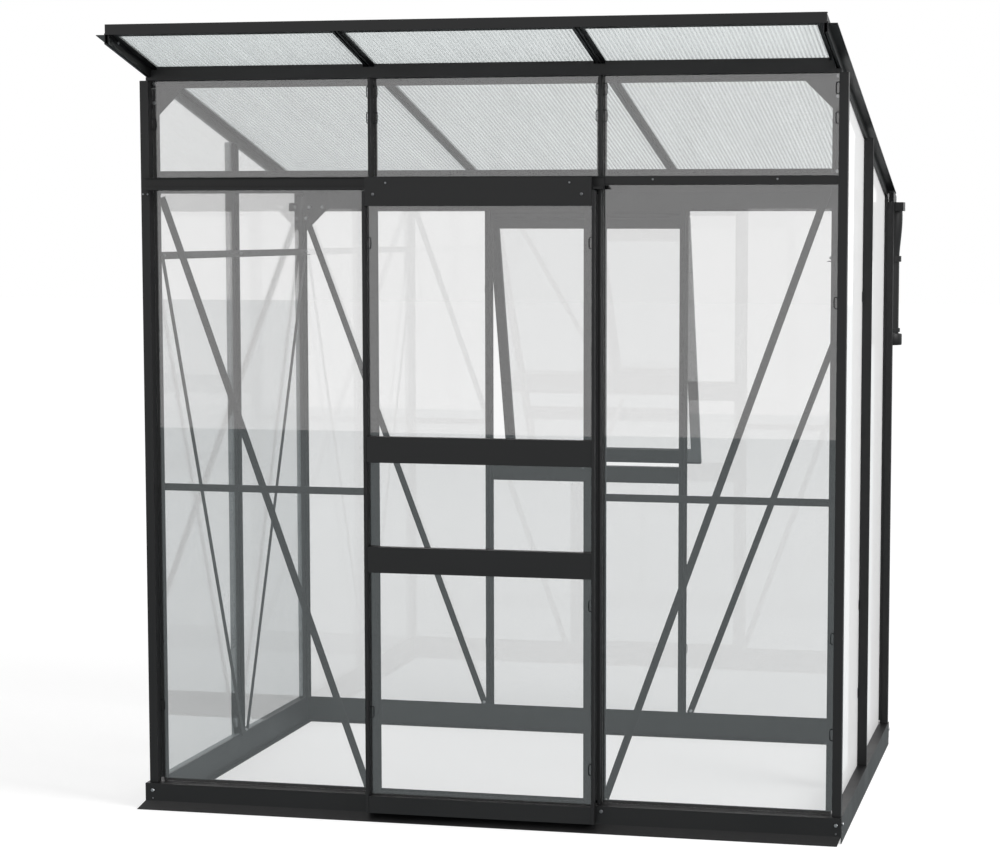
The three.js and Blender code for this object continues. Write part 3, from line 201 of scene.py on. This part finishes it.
def skin(rings, closed=False):
    """Point j of ring i joins its neighbours in the ring and the same points of the next ring. The
    end rings are filled, or, where closed, the last ring joins the first."""
    count, sides = rings.shape[:2]
    i, j = np.meshgrid(np.arange(count if closed else count - 1), np.arange(sides), indexing="ij")
    beside = (j + 1) % sides
    after = (i + 1) % count
    quads = np.stack(
        [i * sides + j, i * sides + beside, after * sides + beside, after * sides + j],
        -1,
    ).reshape(-1, 4)
    last = (count - 1) * sides
    ends = [] if closed else [np.arange(sides)[::-1], np.arange(last, last + sides)]
    return rings.reshape(-1, 3), quads, ends


def turned(profile, sides):
    """Rings of a turned shape: (r cos a, r sin a, z) at equal angles a for each (r, z) in mm."""
    angle = 2 * pi * np.arange(sides) / sides
    r, z = np.array(profile).T * MM
    height = np.repeat(z[:, None], sides, 1)
    return np.stack([np.outer(r, np.cos(angle)), np.outer(r, np.sin(angle)), height], -1)


def facing(outward):
    """Turns the z axis to that direction: the columns are two sides square to it, and itself."""
    across = X if abs(outward @ Z) > 0.9 else Z
    side = np.cross(across, outward)
    return np.stack([side, np.cross(outward, side), outward], 1)


def new_piece(name, shells, material, body, smooth=None):
    """One mesh of several closed shells; edges flatter than the smooth angle are shaded round."""
    start = 0
    points, faces = [], []
    for shell_points, quads, ends in shells:
        points.append(shell_points)
        faces += (quads + start).tolist() + [(end + start).tolist() for end in ends]
        start += len(shell_points)
    mesh = bpy.data.meshes.new(name)
    mesh.from_pydata(np.concatenate(points).tolist(), [], faces)
    mesh.update()
    if smooth:
        mesh.shade_smooth()
        mesh.set_sharp_from_angle(angle=smooth)
    mesh.materials.append(material)
    piece = bpy.data.objects.new(name, mesh)
    bpy.context.collection.objects.link(piece)
    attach(piece, body)
    return piece


# Heads in mm, from the face that they sit on: a hexagon, two pan heads with their sockets, a flat
# rivet that fits behind the glass, a low head that the door clears, and a nut with its bolt's end.
HEXAGON = ([(5.2, 0), (5.2, 3.2), (4.5, 4)], 6)
PAN = ([(4.2, 0), (4.2, 1), (3.7, 2), (2.6, 2.7), (1.5, 2.8), (1.3, 1.6)], 18)
SMALL_PAN = ([(2.6, 0), (2.6, 0.8), (2.1, 1.6), (1.2, 1.9), (1, 1.2)], 14)
RIVET = ([(5, 0), (5, 0.12), (4.2, 0.22)], 18)
LOW_HEAD = ([(5, 0), (5, 1.2), (4.2, 1.8)], 18)
NUT = ([(5.4, 0), (5.4, 4.3), (4.7, 5), (3, 5), (3, 7), (2.5, 7.6)], 6)
HEAD_SMOOTH = 0.6


def fixings(name, head, places, material, body="frame", way=-1):
    """The same head at each place (wall, along, inwards, height). It points out of the wall, or
    into the house where the way is 1."""
    rings = turned(*head)
    shells = [
        skin(rings @ facing(way * walls[place[0]][2]).T + on_wall(*place)) for place in places
    ]
    return new_piece(name, shells, material, body, smooth=HEAD_SMOOTH)


dress(named("base_sill"), coat)
SILL_PROUD = 10
RIGHT_PROUD = 2
SILL_FIXING = 12  # from the wall's end
BOLT_HEIGHT = 51
SCREW_HEIGHT = 28
sill_faces = [
    ("front", SILL_PROUD, WIDTH),
    ("back", SILL_PROUD, WIDTH),
    ("left", SILL_PROUD, DEPTH),
    ("right", RIGHT_PROUD, DEPTH),
]
sill_ends = [
    (wall, along, -proud)
    for wall, proud, length in sill_faces
    for along in (SILL_FIXING, length - SILL_FIXING)
]
fixings("sill_bolts", HEXAGON, [(*end, BOLT_HEIGHT) for end in sill_ends], zinc)
fixings("sill_screws", SMALL_PAN, [(*end, SCREW_HEIGHT) for end in sill_ends], dull_zinc)

# Posts
# Extruded aluminium posts stand on the sills, with the glass on their flanges. At the top of each
# corner a gusset plate is bolted behind the eave beam, with rivets through the flanges.
dress(named("corner_post", "door_post", "back_post", "side_post"), coat)
FLANGE_FACE = 30.3
GUSSET_FRONT = 32.6
GUSSET_BACK = 34.9
# In mm from the corner along the wall, down from the post's top, and inwards.
CORNER_RIVETS = [(80, 8, GUSSET_FRONT), (30, 7, FLANGE_FACE)]
LOWER_RIVET = (30, 59, FLANGE_FACE)
CORNER_NUTS = [(54, 14, GUSSET_BACK), (98, 14, GUSSET_BACK), (45, 58, GUSSET_BACK)]
LONE_RIVET = 1756
POST_FOOT = 1287
FOOT_BOLT = 56
front_top = corners_of("corner_post_front_left")[1][2] / MM
back_top = corners_of("corner_post_back_left")[1][2] / MM


def at_corners(wall, top, table):
    """Each place of the table at both ends of that wall."""
    return [
        (wall, along, inwards, top - down)
        for from_end, down, inwards in table
        for along in (from_end, WIDTH - from_end)
    ]


fixings(
    "gusset_rivets",
    RIVET,
    at_corners("front", front_top, [*CORNER_RIVETS, LOWER_RIVET])
    + at_corners("back", back_top, CORNER_RIVETS)
    + [("front", WIDTH - LOWER_RIVET[0], FLANGE_FACE, LONE_RIVET)],
    zinc,
)
fixings(
    "gusset_nuts",
    NUT,
    at_corners("front", front_top, CORNER_NUTS) + at_corners("back", back_top, CORNER_NUTS),
    zinc,
    way=1,
)
fixings(
    "post_foot_bolts",
    LOW_HEAD,
    [("front", along, -SILL_PROUD, FOOT_BOLT) for along in (WIDTH - POST_FOOT, POST_FOOT)],
    dull_zinc,
)

# Eave beams and gutter
# Inverted aluminium troughs close the tops of the front and back walls. The back one is extruded
# with the gutter and with the round socket that the vent hangs in.
dress(["eave_beam_front", "eave_beam_back"], coat)

# Crossbar and door track
# A hollow bar runs across the front under the transom panes, and the door's wheels run in a
# channel screwed to it.
dress(["front_crossbar", "door_track"], coat)
CROSSBAR_SCREWS = (1747, 1420)
CROSSBAR_SCREW_HEIGHT = 1736
TRACK_SCREWS = (6, 19)
TRACK_SCREW_HEIGHT = 1700
fixings(
    "crossbar_screws",
    SMALL_PAN,
    [("front", along, 0, CROSSBAR_SCREW_HEIGHT) for along in CROSSBAR_SCREWS],
    zinc,
)
fixings(
    "track_end_screws",
    SMALL_PAN,
    [("front", along, 0, TRACK_SCREW_HEIGHT) for along in TRACK_SCREWS],
    zinc,
)

# Roof bars and fascia
# Extruded bars carry the sheets down the slope. The two at the edges also cap the side walls, and
# a folded strip, screwed to them behind their front ends, closes the roof's front edge.
dress(named("roof_bar", "roof_edge", "roof_fascia"), coat)
SHEET_THICK = 6
TROUGH_WALL = 32.3
SCREW_SET = 64
SCREW_DROP = 39.6
edge_low, edge_high = corners_of("roof_edge_bar_left")
sheet_low, sheet_high = corners_of("roof_sheet_right")
fall = (sheet_high[2] - sheet_low[2] - SHEET_THICK * MM) / (sheet_high[1] - sheet_low[1])
screw_along = (edge_low[1] - corner[1]) / MM + SCREW_SET
screw_height = edge_high[2] / MM - SCREW_DROP
fixings(
    "fascia_screws",
    PAN,
    [(wall, screw_along, TROUGH_WALL, screw_height) for wall in ("left", "right")],
    zinc,
    way=1,
)

# Eave closers
# At each back corner a folded aluminium plate, screwed to the post's top, closes the gap up to the
# roof bar, and its outer leg runs on over the gutter.
ROOF_GAP = 0.7
POST_GAP = 0.3
TAIL_TOP = 4
TROUGH_DROP = 20  # the edge bars' lowest edge, below the roof line
CLOSER_STEPS = 8
SHEET_METAL = 1.8 * MM
LONG_LEG = 24 * MM  # how far it reaches in front of the post's back face
SHORT_LEG = 17.4 * MM
GUTTER_SET = 3 * MM
tail_end = edge_high[1]
closer_outer, closer_back, closer_foot = corners_of("corner_post_back_right")[1]
gutter_out = corners_of("eave_beam_back")[1][1] - GUTTER_SET


def roof_line(y):
    return edge_low[2] + TROUGH_DROP * MM + fall * (tail_end - y)


def plate(side, x0, x1, y0, y1):
    """A slab between two x and two y, as rings along y: the bottom is level and the top follows the
    roof line, under the bar up to its end and level with its top beyond."""
    y = np.linspace(y0, y1, CLOSER_STEPS)
    y = np.unique(np.append(y, np.clip([tail_end, tail_end + MM], y0, y1)))
    top = roof_line(y) + np.where(y > tail_end, TAIL_TOP, ROOF_GAP) * MM
    bottom = np.full_like(y, closer_foot + POST_GAP * MM)
    near, far = sorted((side * x0, side * x1))
    corners = [(near, top), (far, top), (far, bottom), (near, bottom)]
    return skin(np.stack([np.stack([np.full_like(y, x), y, z], -1) for x, z in corners], 1))


closer_inner = closer_outer - SHEET_METAL
new_piece(
    "eave_closers",
    [
        shell
        for side in (-1, 1)
        for shell in (
            plate(side, closer_inner, closer_outer, closer_back - LONG_LEG, gutter_out),
            plate(
                side,
                closer_outer - SHORT_LEG,
                closer_inner,
                closer_back - SHEET_METAL,
                closer_back,
            ),
        )
    ],
    coat,
    "frame",
)

# Roof sheets
# Twin-wall polycarbonate, 6 mm thick: two clear skins joined by ribs down the slope. The skins are
# extruded and glossy; the ribs catch the light as fine lines.
FLUTE = 11  # the ribs' spacing
SKIN_THICK = 0.4
RIB_THICK = 0.9


def calculated(tree, operation, *values):
    inputs = dict(enumerate(values))
    return add_node(tree, "ShaderNodeMath", inputs, operation=operation).outputs["Value"]


def mixed(tree, factor, first, second):
    return add_node(tree, "ShaderNodeMixShader", {0: factor, 1: first, 2: second}).outputs[0]


def twin_wall():
    """Clear polycarbonate, glossy and slightly milky: each face passes most of the light and
    scatters the rest, mostly within 2 mm of a rib, where the skin thickens. The attribute counts
    the ribs, so its distance from a whole number says how far off the nearest rib is. Extrusion
    leaves faint bands down the slope, the widest about 14 mm."""
    material, tree = new_material("twin_wall_polycarbonate")
    count = add_node(tree, "ShaderNodeAttribute", attribute_name="rib").outputs["Fac"]
    off_rib = calculated(tree, "PINGPONG", count, 0.5)
    joint = ranged(tree, off_rib, 0.26, 0, 0.05, 0.2, interpolation_type="SMOOTHSTEP")
    bands = noise(tree, 14, detail=4, roughness=0.6, stretch=(1, 0.04, 0.04))
    milk = ranged(tree, bands, 0.04, 0.09, 0.35, 0.7)
    plastic = {"Base Color": linear("eef0f0"), "Roughness": 0.22, "IOR": 1.58}
    scattered = shader(tree, "BsdfPrincipled", plastic)
    clear = shader(tree, "BsdfTransparent", {"Color": linear("fafbfb")})
    surface(tree, mixed(tree, calculated(tree, "ADD", joint, milk), clear, scattered))
    return material


def fluted_sheet(low, high):
    """A box cut by flutes: points at the front and back end, at both faces of every rib, and at the
    four levels of the two skins. Quads join them down the slope outside, round the inside of each
    flute, and across the ends wherever there is a skin or a rib."""
    flutes = round((high[0] - low[0]) / (FLUTE * MM))
    half_rib = RIB_THICK / 2 * MM
    middles = np.linspace(low[0] + half_rib, high[0] - half_rib, flutes + 1)
    columns = (middles[:, None] + np.array([-half_rib, half_rib])).ravel()
    levels = np.array([0, SKIN_THICK, SHEET_THICK - SKIN_THICK, SHEET_THICK]) * MM
    bottoms = np.array([high[2] - SHEET_THICK * MM, low[2]])
    points = np.empty((2, len(columns), 4, 3))
    points[..., 0] = columns[None, :, None]
    points[..., 1] = np.array([low[1], high[1]])[:, None, None]
    points[..., 2] = bottoms[:, None, None] + levels[None, None, :]
    index = np.arange(points[..., 0].size).reshape(points.shape[:3])

    def strip(first, second):
        """Quads down the slope between two lines of points, each given by columns and levels."""
        fore, aft = index[:, first[0], first[1]]
        fore_beside, aft_beside = index[:, second[0], second[1]]
        return np.stack([fore, aft, aft_beside, fore_beside], -1).reshape(-1, 4)

    left, right = slice(0, -1), slice(1, None)
    into, out_of = slice(1, -1, 2), slice(2, None, 2)
    rib_left, rib_right = slice(0, None, 2), slice(1, None, 2)
    quads = [
        strip((left, 0), (right, 0)),
        strip((right, 3), (left, 3)),
        strip((0, right), (0, left)),
        strip((-1, left), (-1, right)),
        strip((out_of, 1), (into, 1)),
        strip((into, 2), (out_of, 2)),
        strip((into, 1), (into, 2)),
        strip((out_of, 2), (out_of, 1)),
    ]
    for end, turn in zip(index, (1, -1)):
        for near, far, level in ((left, right, 0), (left, right, 2), (rib_left, rib_right, 1)):
            face = [end[near, level], end[far, level], end[far, level + 1], end[near, level + 1]]
            quads.append(np.stack(face, -1)[:, ::turn])
    return points.reshape(-1, 3), np.concatenate(quads), []


twin_wall_sheet = twin_wall()
for place in ("left", "middle", "right"):
    low, high = corners_of(f"roof_sheet_{place}")
    shells = [fluted_sheet(low, high)]
    sheet = new_piece(f"fluted_sheet_{place}", shells, twin_wall_sheet, "frame")
    ribs = round((high[0] - low[0]) / (FLUTE * MM)) + 1
    count = sheet.data.attributes.new("rib", "FLOAT", "POINT")
    count.data.foreach_set("value", np.tile(np.repeat(np.arange(ribs), 8), 2).astype(np.float32))
    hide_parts(f"roof_sheet_{place}")

# Bracing
# Flat aluminium strips cross the walls inside, and angle bars run level between the posts. Nuts on
# bolts that slide in the posts' channels hold their ends.
dress(named("front_bracing", "back_brace", "side_bracing"), coat)
BRACE_FACE = 42.6
MID_BAR = 895
SIDE_BAR = 1533
FOOT = 88
SIDE_FOOT = 92
BESIDE_POST = 46
brace_ends = [
    ("front", BESIDE_POST, 1684),
    ("front", 617, FOOT),
    ("front", 52, MID_BAR),
    ("front", 648, MID_BAR),
    ("front", WIDTH - BESIDE_POST, 1733),
    ("front", WIDTH - 638, FOOT),
    ("front", WIDTH - 648, MID_BAR),
    ("front", WIDTH - 52, MID_BAR),
    ("back", BESIDE_POST, 1641),
    ("back", 633, FOOT),
    ("back", WIDTH - BESIDE_POST, 1605),
    ("back", WIDTH - 619, FOOT),
]
side_ends = [
    (BESIDE_POST, SIDE_BAR),
    (DEPTH - BESIDE_POST, SIDE_BAR),
    (DEPTH / 2, SIDE_BAR),
    (DEPTH / 2, SIDE_FOOT),
]
brace_ends += [(wall, *end) for wall in ("left", "right") for end in side_ends]
fixings(
    "brace_nuts",
    NUT,
    [(wall, along, BRACE_FACE, height) for wall, along, height in brace_ends],
    zinc,
    way=1,
)

# Vent sill
# A hollow bar under the vent, with a flange behind the pane below and a peg for the stay.
dress(["vent_sill"], coat)

# Wall panes and their clips
# Clear float glass, 3 mm, lies against the posts' flanges and is held by hooks of spring wire, each
# bent to a C and pressed in beside a rib.
PANE_MIRROR = 0.11
PANE_GRAZE = 0.89
HAZE = 0.5


def sheet_glass():
    """Horticultural float glass: each face mirrors about a tenth, and nearly all at a slant, where
    the dust on it shows as a pale haze too. It passes the rest a little dimmed. Drawing leaves
    waves about 350 mm long, too weak to bend what is seen through the pane."""
    material, tree = new_material("horticultural_glass")
    slant = add_node(tree, "ShaderNodeLayerWeight", {"Blend": 0.5}).outputs["Facing"]
    steep = calculated(tree, "POWER", slant, 4)
    share = calculated(tree, "MULTIPLY_ADD", steep, PANE_GRAZE, PANE_MIRROR)
    dust = ranged(tree, slant, 0, HAZE, 0.72, 0.88, interpolation_type="SMOOTHSTEP")
    wave = bumped(tree, noise(tree, 350, detail=1), 0.02, 0.0005)
    clear = shader(tree, "BsdfTransparent", {"Color": linear("fafafa")})
    polished = {"Color": linear("f8f8f8"), "Roughness": 0.0, "Normal": wave}
    mirror = shader(tree, "BsdfGlossy", polished)
    film = shader(tree, "BsdfDiffuse", {"Color": linear("fbfbfb")})
    surface(tree, mixed(tree, dust, mixed(tree, share, clear, mirror), film))
    return material


glass = sheet_glass()
dress(named("front_pane", "transom_pane", "back_pane", "side_pane"), glass, rounded=False)

CLIP_HALF = 15
CLIP_REACH = 11
CLIP_BEND = 0.35  # the power that squares the half ellipse's corners
CLIP_STEPS = 17
CLIP_SMOOTH = 0.8
WIRE = 1.1
WIRE_SIDES = 8
PANE_FACE = 27
clip_wire = plated_steel("spring_steel_wire", "2e2f30", 0.42)


def clip(wall, along, way, height, face=PANE_FACE):
    """Wire along half a rounded oblong: x = reach cos^p a and z = half sin^p a from -90 to 90
    degrees. Each ring is r (cos b side + sin b out) about its point, the side being square to the
    wire in the pane's plane."""
    _, run, inward = walls[wall]
    angle = np.linspace(-pi / 2, pi / 2, CLIP_STEPS)
    x = CLIP_REACH * np.abs(np.cos(angle)) ** CLIP_BEND
    z = CLIP_HALF * np.sign(np.sin(angle)) * np.abs(np.sin(angle)) ** CLIP_BEND
    bend = np.outer(x, way * run * MM) + np.outer(z, Z * MM)
    path = on_wall(wall, along, face - WIRE, height) + bend
    tangent = np.gradient(path, axis=0)
    tangent /= np.linalg.norm(tangent, axis=1, keepdims=True)
    side = np.cross(-inward, tangent)
    turn = 2 * pi * np.arange(WIRE_SIDES) / WIRE_SIDES
    ring = np.cos(turn)[None, :, None] * side[:, None] - np.sin(turn)[None, :, None] * inward
    return skin(path[:, None] + WIRE * MM * ring)


HALF_RIB = 4
CORNER_POST = 24
BAY = 650  # centre line of a post from a wall's end
TRANSOM_CLIPS = (1972, 1903)
LONG_CLIPS = (1417, 538, 283)
RIGHT_CLIPS = (1968, 1892, *LONG_CLIPS)
LEFT_CLIPS = (1891, 284)
front_rows = [(WIDTH - CORNER_POST, -1, RIGHT_CLIPS), (CORNER_POST, 1, LEFT_CLIPS)] + [
    (middle + way * HALF_RIB, way, TRANSOM_CLIPS)
    for middle in (BAY, WIDTH - BAY)
    for way in (-1, 1)
]
back_rows = [
    (CORNER_POST, 1, LONG_CLIPS),
    (BAY - HALF_RIB, -1, LONG_CLIPS),
    (WIDTH - BAY + HALF_RIB, 1, LONG_CLIPS),
    (WIDTH - CORNER_POST, -1, LONG_CLIPS),
]
side_rows = [(BAY + way * HALF_RIB, way, LONG_CLIPS) for way in (-1, 1)]
clip_rows = {"front": front_rows, "back": back_rows, "left": side_rows, "right": side_rows}
new_piece(
    "glazing_clips",
    [
        clip(wall, along, way, height)
        for wall, rows in clip_rows.items()
        for along, way, heights in rows
        for height in heights
    ],
    clip_wire,
    "frame",
    smooth=CLIP_SMOOTH,
)

# Downpipe
# One moulded PVC run hangs from the gutter's outlet: a bend that leans to the outlet, a collar, the
# pipe, a second collar and an open socket.
PIPE = 26.5
PIPE_SIDES = 56
BORE = 20
OUTLET_SWING = 8
SOCKET = 37
BEND_FROM = 275
BEND_BULGE = 2
BEND_STEPS = 12
TURNED_SMOOTH = 0.7
pipe_low, pipe_high = corners_of("downpipe")
pipe_long = (pipe_high[2] - pipe_low[2]) / MM


def moulded_pvc():
    """Black PVC from a polished mould: an even skin with a soft sheen and flow marks 40 mm long."""
    material, tree = new_material("moulded_pvc")
    flow = noise(tree, 40, detail=3)
    plastic = {
        "Base Color": blended(tree, flow, "090909", "0f0f10"),
        "Roughness": ranged(tree, flow, 0.34, 0.48),
        "IOR": 1.53,
        "Specular IOR Level": 0.26,
    }
    surface(tree, shader(tree, "BsdfPrincipled", plastic))
    return material


def downpipe():
    """Rings of a turned wall, out and up and back down its bore, closed on themselves. Above the
    upper collar each ring moves sideways by swing (3 t^2 - 2 t^3), t running from 0 there to 1 at
    the top."""
    outside = [
        (BORE, 0), (34, 0), (36.2, 0.8), (SOCKET, 3), (SOCKET, 32), (36.2, 34.2), (34, 35),
        (27.2, 36), (PIPE, 38), (PIPE, 40), (30.4, 40), (31, 40.6), (31, 51.4), (30.4, 52),
        (PIPE, 52), (PIPE, 257), (31.9, 257), (32.5, 257.6), (32.5, 274.4), (31.9, BEND_FROM),
        (PIPE, BEND_FROM),
    ]
    bend = [
        (PIPE + BEND_BULGE * np.sin(pi * t), BEND_FROM + t * (pipe_long - BEND_FROM))
        for t in np.linspace(0, 1, BEND_STEPS)[1:]
    ]
    inside = [(BORE, z) for _, z in reversed(bend)]
    rings = turned(outside + bend + inside, PIPE_SIDES)
    t = np.clip((rings[..., 2] / MM - BEND_FROM) / (pipe_long - BEND_FROM), 0, 1)
    rings[..., 0] += OUTLET_SWING * MM * (3 * t**2 - 2 * t**3)
    return skin(rings + pipe_low + (X + Y) * SOCKET * MM, closed=True)


pipe = new_piece(
    "moulded_downpipe",
    [downpipe()],
    moulded_pvc(),
    "frame",
    smooth=TURNED_SMOOTH,
)
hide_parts("downpipe")

# Sliding door
# Stiles and rails of powder-coated aluminium are screwed together round three panes, which clips
# hold in the rebates. A header plate over the top rail hides the wheels.
dress(named("door_stile", "door_rail", "door_header"), coat)
dress(named("door_pane"), glass, rounded=False)
AXLE_DROP = 17
HEADER_SCREW_DROP = 47
header_low, header_high = corners_of("door_header")
header_top = header_high[2] / MM
header_from, door_face = (header_low - corner)[:2] / MM
header_to = (header_high[0] - corner[0]) / MM
fixings(
    "header_axle_ends",
    SMALL_PAN,
    [
        ("front", along, door_face, header_top - AXLE_DROP)
        for along in (header_from + 58, header_to - 59)
    ],
    zinc,
    "door",
)
fixings(
    "header_screws",
    PAN,
    [
        ("front", along, door_face, header_top - HEADER_SCREW_DROP)
        for along in (header_from + 23, header_to - 27)
    ],
    dull_zinc,
    "door",
)
DOOR_PANE_FACE = -18.3
LEFT_STILE_CLIPS = (1569, 300)
RIGHT_STILE_CLIPS = (1570, 611, 169)
stile_low = corners_of("door_stile_left")[0]
stile_high = corners_of("door_stile_right")[1]
glass_from = (stile_low[0] - corner[0]) / MM + 2 * HALF_RIB
glass_to = (stile_high[0] - corner[0]) / MM - 2 * HALF_RIB
new_piece(
    "door_clips",
    [clip("front", glass_from, 1, z, face=DOOR_PANE_FACE) for z in LEFT_STILE_CLIPS]
    + [clip("front", glass_to, -1, z, face=DOOR_PANE_FACE) for z in RIGHT_STILE_CLIPS],
    clip_wire,
    "door",
    smooth=CLIP_SMOOTH,
)

# A strip of dark pile on the back of the closing stile brushes along the post.
PILE_OUT = 1.5 * MM  # past the stile's edge
PILE_WIDE = 6 * MM
PILE_GAP = 0.2 * MM
PILE_FROM = 86 * MM
PILE_TO = 1698 * MM
pile_right = stile_high[0] + PILE_OUT
pile_left = pile_right - PILE_WIDE
pile_front = stile_high[1] + PILE_GAP
pile_back = corner[1] - MM
pile_corners = [
    (pile_left, pile_front),
    (pile_right, pile_front),
    (pile_right, pile_back),
    (pile_left, pile_back),
]
pile = np.array([[(x, y, z) for x, y in pile_corners] for z in (PILE_FROM, PILE_TO)])
new_piece("door_pile_strip", [skin(pile)], coat, "door")

# Door wheels
# Two turned nylon wheels with a groove for the track's lip run on steel axles behind the header.


def turned_nylon():
    """Nylon dyed black: a waxy skin with faint marks about a millimetre long from the lathe."""
    material, tree = new_material("turned_nylon")
    waxy = {
        "Base Color": linear("2a2a2a"),
        "Roughness": 0.45,
        "IOR": 1.53,
        "Normal": bumped(tree, noise(tree, 1, detail=2), 0.1, 0.0002),
    }
    surface(tree, shader(tree, "BsdfPrincipled", waxy))
    return material


nylon = turned_nylon()
WHEEL = 13.2
WHEEL_SIDES = 48
WHEEL_WIDE = 8
AXLE_HOLE = 3.3
wheel_profile = [
    (AXLE_HOLE, 0), (5.5, 0), (6, 0.8), (9.5, 0.8), (10, 0), (12.7, 0), (WHEEL, 0.5), (WHEEL, 1.5),
    (WHEEL - 1.5, 4), (WHEEL, 6.5), (WHEEL, 7.5), (12.7, 8), (10, 8), (9.5, 7.2), (6, 7.2),
    (5.5, WHEEL_WIDE), (AXLE_HOLE, WHEEL_WIDE),
]
for place in ("left", "right"):
    low, high = corners_of(f"door_wheel_{place}")
    hub = (low + high) / 2 + Y * WHEEL_WIDE / 2 * MM
    wheel = new_piece(
        f"turned_wheel_{place}",
        [skin(turned(wheel_profile, WHEEL_SIDES) @ facing(-Y).T + hub, closed=True)],
        nylon,
        f"wheel_{place}",
        smooth=TURNED_SMOOTH,
    )
    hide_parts(f"door_wheel_{place}")

# Vent
# A window in the back wall: an aluminium frame round one pane, hung by a round bead that turns in
# the gutter's socket, with a lug for the stay.
dress(["vent_frame"], coat)
dress(["vent_pane"], glass, rounded=False)

# Peg stay
# A flat zinc-plated steel bar with holes, pinned to the vent's lug and laid on the sill's peg.
dress(["vent_stay"], zinc)

# Floor, background, lamps and camera
# A pale studio floor keeps the soft shadow, and the background is white. To glossy rays the floor
# glows a fixed light blue-grey, a painted reflection tone that the glass shows, ending in front of
# the house and behind it.
FLOOR_NEAR = -12.5
FLOOR_FAR = 47
FLOOR_SIDE = 60
FLOOR_DROP = 0.5 * MM
WHITE = (1, 1, 1, 1)
floor_mesh = bpy.data.meshes.new("floor")
floor_mesh.from_pydata(
    [
        (-FLOOR_SIDE, FLOOR_NEAR, 0),
        (FLOOR_SIDE, FLOOR_NEAR, 0),
        (FLOOR_SIDE, FLOOR_FAR, 0),
        (-FLOOR_SIDE, FLOOR_FAR, 0),
    ],
    [],
    [(0, 1, 2, 3)],
)
floor = bpy.data.objects.new("floor", floor_mesh)
bpy.context.collection.objects.link(floor)
floor.location.z = -FLOOR_DROP
floor_material, tree = new_material("pale_floor")
path = add_node(tree, "ShaderNodeLightPath").outputs
lit = shader(tree, "BsdfDiffuse", {"Color": linear("e6e6e6")})
shaded = shader(tree, "BsdfDiffuse", {"Color": linear("bcbcbc")})
place = add_node(tree, "ShaderNodeTexCoord").outputs["Object"]
off = add_node(tree, "ShaderNodeVectorMath", {0: place}, operation="LENGTH").outputs["Value"]
pool = ranged(tree, off, 0.65, 0.78, 1, 7)
glow = shader(tree, "Emission", {"Color": WHITE, "Strength": pool})
seen = mixed(tree, path["Is Camera Ray"], lit, shader(tree, "AddShader", {0: shaded, 1: glow}))
# Painted reflection: glossy rays see the floor as a fixed blue-grey glow, not as the lit floor.
painted_reflection = shader(tree, "Emission", {"Color": (0.42, 0.46, 0.47, 1), "Strength": 1})
surface(tree, mixed(tree, path["Is Glossy Ray"], seen, painted_reflection))
floor_mesh.materials.append(floor_material)

world = bpy.data.worlds.new("studio")
bpy.context.scene.world = world
world.use_nodes = True
tree = world.node_tree
tree.nodes.clear()
path = add_node(tree, "ShaderNodeLightPath").outputs
direct = calculated(tree, "MAXIMUM", path["Is Camera Ray"], path["Is Glossy Ray"])
direct = calculated(tree, "MAXIMUM", direct, path["Is Transmission Ray"])
dim = shader(tree, "Background", {"Color": WHITE, "Strength": 0.5})
white = shader(tree, "Background", {"Color": WHITE, "Strength": 1.0})
add_node(tree, "ShaderNodeOutputWorld", {"Surface": mixed(tree, direct, dim, white)})

AIM = Vector((0, 0.6, 1))
for name, place, size, power in [
    ("key", (8.5, -2, 5.5), 4, 740),
    ("fill", (-8, -5, 5), 4, 90),
]:
    lamp_data = bpy.data.lights.new(name, "AREA")
    lamp_data.energy = power
    lamp_data.size = size
    lamp = bpy.data.objects.new(name, lamp_data)
    bpy.context.collection.objects.link(lamp)
    lamp.location = place
    lamp.rotation_mode = "QUATERNION"
    lamp.rotation_quaternion = (AIM - Vector(place)).to_track_quat("-Z", "Y")

# The camera stands 6.4 m off at head height, turned 12 degrees left and tipped 5 degrees down.
# Its focal length is in pixels of the image's width.
IMAGE_WIDE = 1000
FOCAL_LENGTH = 2484.69
SENSOR = 36
YAW, PITCH, ROLL = 0.2157, 0.092, 0.001
camera_data = bpy.data.cameras.new("camera")
camera = bpy.data.objects.new("camera", camera_data)
bpy.context.collection.objects.link(camera)
camera_data.sensor_width = SENSOR
camera_data.lens = FOCAL_LENGTH * SENSOR / IMAGE_WIDE
camera_data.shift_x = -0.08417
camera_data.shift_y = 0.02926
camera_data.clip_end = 300
camera.matrix_world = (
    Matrix.Translation((1.67558, -6.4381, 1.60688))
    @ Matrix.Rotation(YAW, 4, "Z")
    @ Matrix.Rotation(pi / 2 - PITCH, 4, "X")
    @ Matrix.Rotation(ROLL, 4, "Z")
)
bpy.context.scene.camera = camera
